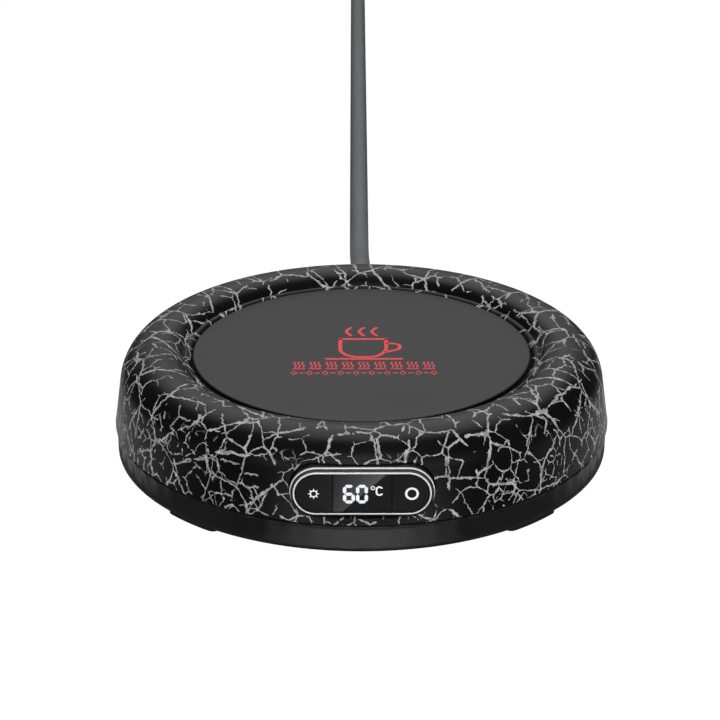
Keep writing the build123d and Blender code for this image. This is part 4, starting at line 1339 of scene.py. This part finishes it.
def studio_world():
    """White to the lens. Reflections see a softbox high behind the object, a screen under it, a glow from
    low in front, a lamp halfway up in front and little else."""
    world = bpy.data.worlds.new("studio")
    bpy.context.scene.world = world
    world.use_nodes = True
    tree = world.node_tree
    tree.nodes.clear()
    way = add_node(tree, "ShaderNodeTexCoord").outputs["Generated"]
    upward = separated(tree, way)["Z"]
    level_way = vector_maths(tree, "NORMALIZE", vector_maths(tree, "MULTIPLY", way, (1.0, 1.0, 0.0)))
    behind = separated(tree, level_way)["Y"]
    to_softbox = vector_maths(tree, "DOT_PRODUCT", way, (0.0, 0.53, 0.848))
    to_lamp = vector_maths(tree, "DOT_PRODUCT", way, (0.0, -0.866, 0.5))
    softbox = ramp(tree, to_softbox, 0.76, 0.96, 0.0, 1.1)
    screen = times(tree, ramp(tree, behind, 0.75, 0.98), ramp(tree, upward, 0.65, 0.3, 0.0, 0.3))
    glow = times(tree, ramp(tree, behind, -0.55, -0.8), ramp(tree, upward, 0.5, 0.15, 0.0, 0.4))
    front = maths(tree, "MAXIMUM", glow, ramp(tree, to_lamp, 0.90, 0.985, 0.0, 0.62))
    reflected = plus(tree, plus(tree, softbox, plus(tree, screen, front)), 0.01)
    seen = add_node(tree, "ShaderNodeLightPath").outputs["Is Camera Ray"]
    inputs = {"Strength": mixed(tree, seen, reflected, 1.0), "Color": (1.0, 1.0, 1.0, 1.0)}
    background = add_node(tree, "ShaderNodeBackground", inputs)
    feed(add_node(tree, "ShaderNodeOutputWorld"), Surface=background.outputs[0])


def glowing(name, colour, roughness):
    """A matt material with a white glow, whose strength is still to be set."""
    constants = {"Specular_IOR_Level": 0.0, "Emission_Color": (1.0, 1.0, 1.0, 1.0)}
    return principled(name, colour, roughness, **constants)


def studio_floor():
    """A plain white table. To the lens it nearly glows, so that only a faint shadow is left on it."""
    mesh = bmesh.new()
    bmesh.ops.create_grid(mesh, x_segments=1, y_segments=1, size=4.0)
    material, tree, shader = glowing("table_white", grey(0.06), 0.9)
    seen = add_node(tree, "ShaderNodeLightPath").outputs["Is Camera Ray"]
    feed(shader, Emission_Strength=mixed(tree, seen, 0.02, 0.985))
    data = as_data("table_top", mesh)
    data.materials.append(material)
    linked("table_top", data)


def lit_card(name, mesh, emission=None, level=1.0, reflected=True):
    """A glowing card on the table. Only reflections see it, or only matt surfaces."""
    material, tree, shader = glowing(name, grey(0.0), 1.0)
    shader.inputs["Emission Strength"].default_value = level
    if emission:
        place = separated(tree, object_vector(tree))
        feed(shader, Emission_Strength=emission(tree, place["X"], place["Y"]))
    data = as_data(name, mesh)
    data.materials.append(material)
    card = linked(name, data)
    card.visible_camera = False
    card.visible_shadow = False
    card.visible_diffuse = not reflected
    card.visible_glossy = reflected


def flat_card(corners, height):
    mesh = bmesh.new()
    mesh.faces.new([mesh.verts.new((x * MM, y * MM, height * MM)) for x, y in corners])
    return mesh


def ring_card(inner, outer, height):
    steps = 120
    levels = []
    for radius in (inner, outer):
        turns = range(steps if radius else 1)
        levels.append(([around(radius * MM, 360 * turn / steps) for turn in turns], height * MM))
    mesh = bmesh.new()
    bridge(mesh, *level_loops(mesh, levels))
    return mesh


def lens_glow(tree, x, y):
    """Brightest at the card's slanted edge. It fades to the left, and steps down at the left key."""
    slant, offset, curve, slope, base = 0.245, 0.0337, 4400.0, 75.0, 0.3
    joint_left, joint_right = -0.0076, -0.0070
    across = plus(tree, plus(tree, x, times(tree, y, slant)), offset)
    curved = plus(tree, times(tree, across, across, curve), base)
    glow = plus(tree, times(tree, across, slope), curved)
    beyond = ramp(tree, x, -0.014, -0.0074, 0.0, 0.13, smooth=False)
    return mixed(tree, ramp(tree, x, joint_left, joint_right), beyond, glow)


def skirt_glow(tree, x, y):
    """Bright in front, half bright beside and behind, and in two patches before the display's ends."""
    turn = maths(tree, "ABSOLUTE", maths(tree, "ARCTAN2", x, times(tree, y, -1.0)))
    reach = maths(tree, "SQRT", plus(tree, times(tree, x, x), times(tree, y, y)))
    aside = maths(tree, "ABSOLUTE", x)

    def sector(start, end, low, high, smooth=True):
        """From low to high between two angles off straight ahead, in degrees."""
        return ramp(tree, turn, math.radians(start), math.radians(end), low, high, smooth)

    front = times(tree, sector(26, 6, 0.0, 1.0, smooth=False), ramp(tree, reach, 0.085, 0.081))
    side = times(tree, sector(48, 78, 0.02, 0.42), ramp(tree, reach, 0.080, 0.100, 1.0, 0.45))
    side = times(tree, side, ramp(tree, reach, 0.19, 0.17))
    patches = times(tree, sector(34, 20, 0.0, 0.55), ramp(tree, reach, 0.088, 0.096))
    patches = times(tree, patches, ramp(tree, aside, 0.024, 0.034))
    return plus(tree, front, plus(tree, side, patches))


def set_studio():
    bpy.context.scene.view_settings.view_transform = "Standard"
    studio_world()
    studio_floor()
    for name, (place, power) in lamps.items():
        soft_light(name, place, power)
    lens_corners = [(-14.0, -84.5), (-6.57, -84.5), (9.17, -114.0), (-14.0, -114.0)]
    lit_card("bounce_card", ring_card(0.0, 150.0, 0.2), level=0.5, reflected=False)
    lit_card("skirt_card", ring_card(68.2, 400.0, 0.3), skirt_glow)
    lit_card("lens_card", flat_card(lens_corners, 0.4), lens_glow)


set_camera()
cord = mains_cord(finishes["cord_sheath"])
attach(cord, "housing")
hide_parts("cord", "cord_coil", "cord_end")
dress_frame_nodes()
crackle_shell()
hot_plate()
plate_seal()
fluted_base()
rubber_feet()
bezel()
display_sleeve()
relief = strain_relief()
plate_print()
set_studio()
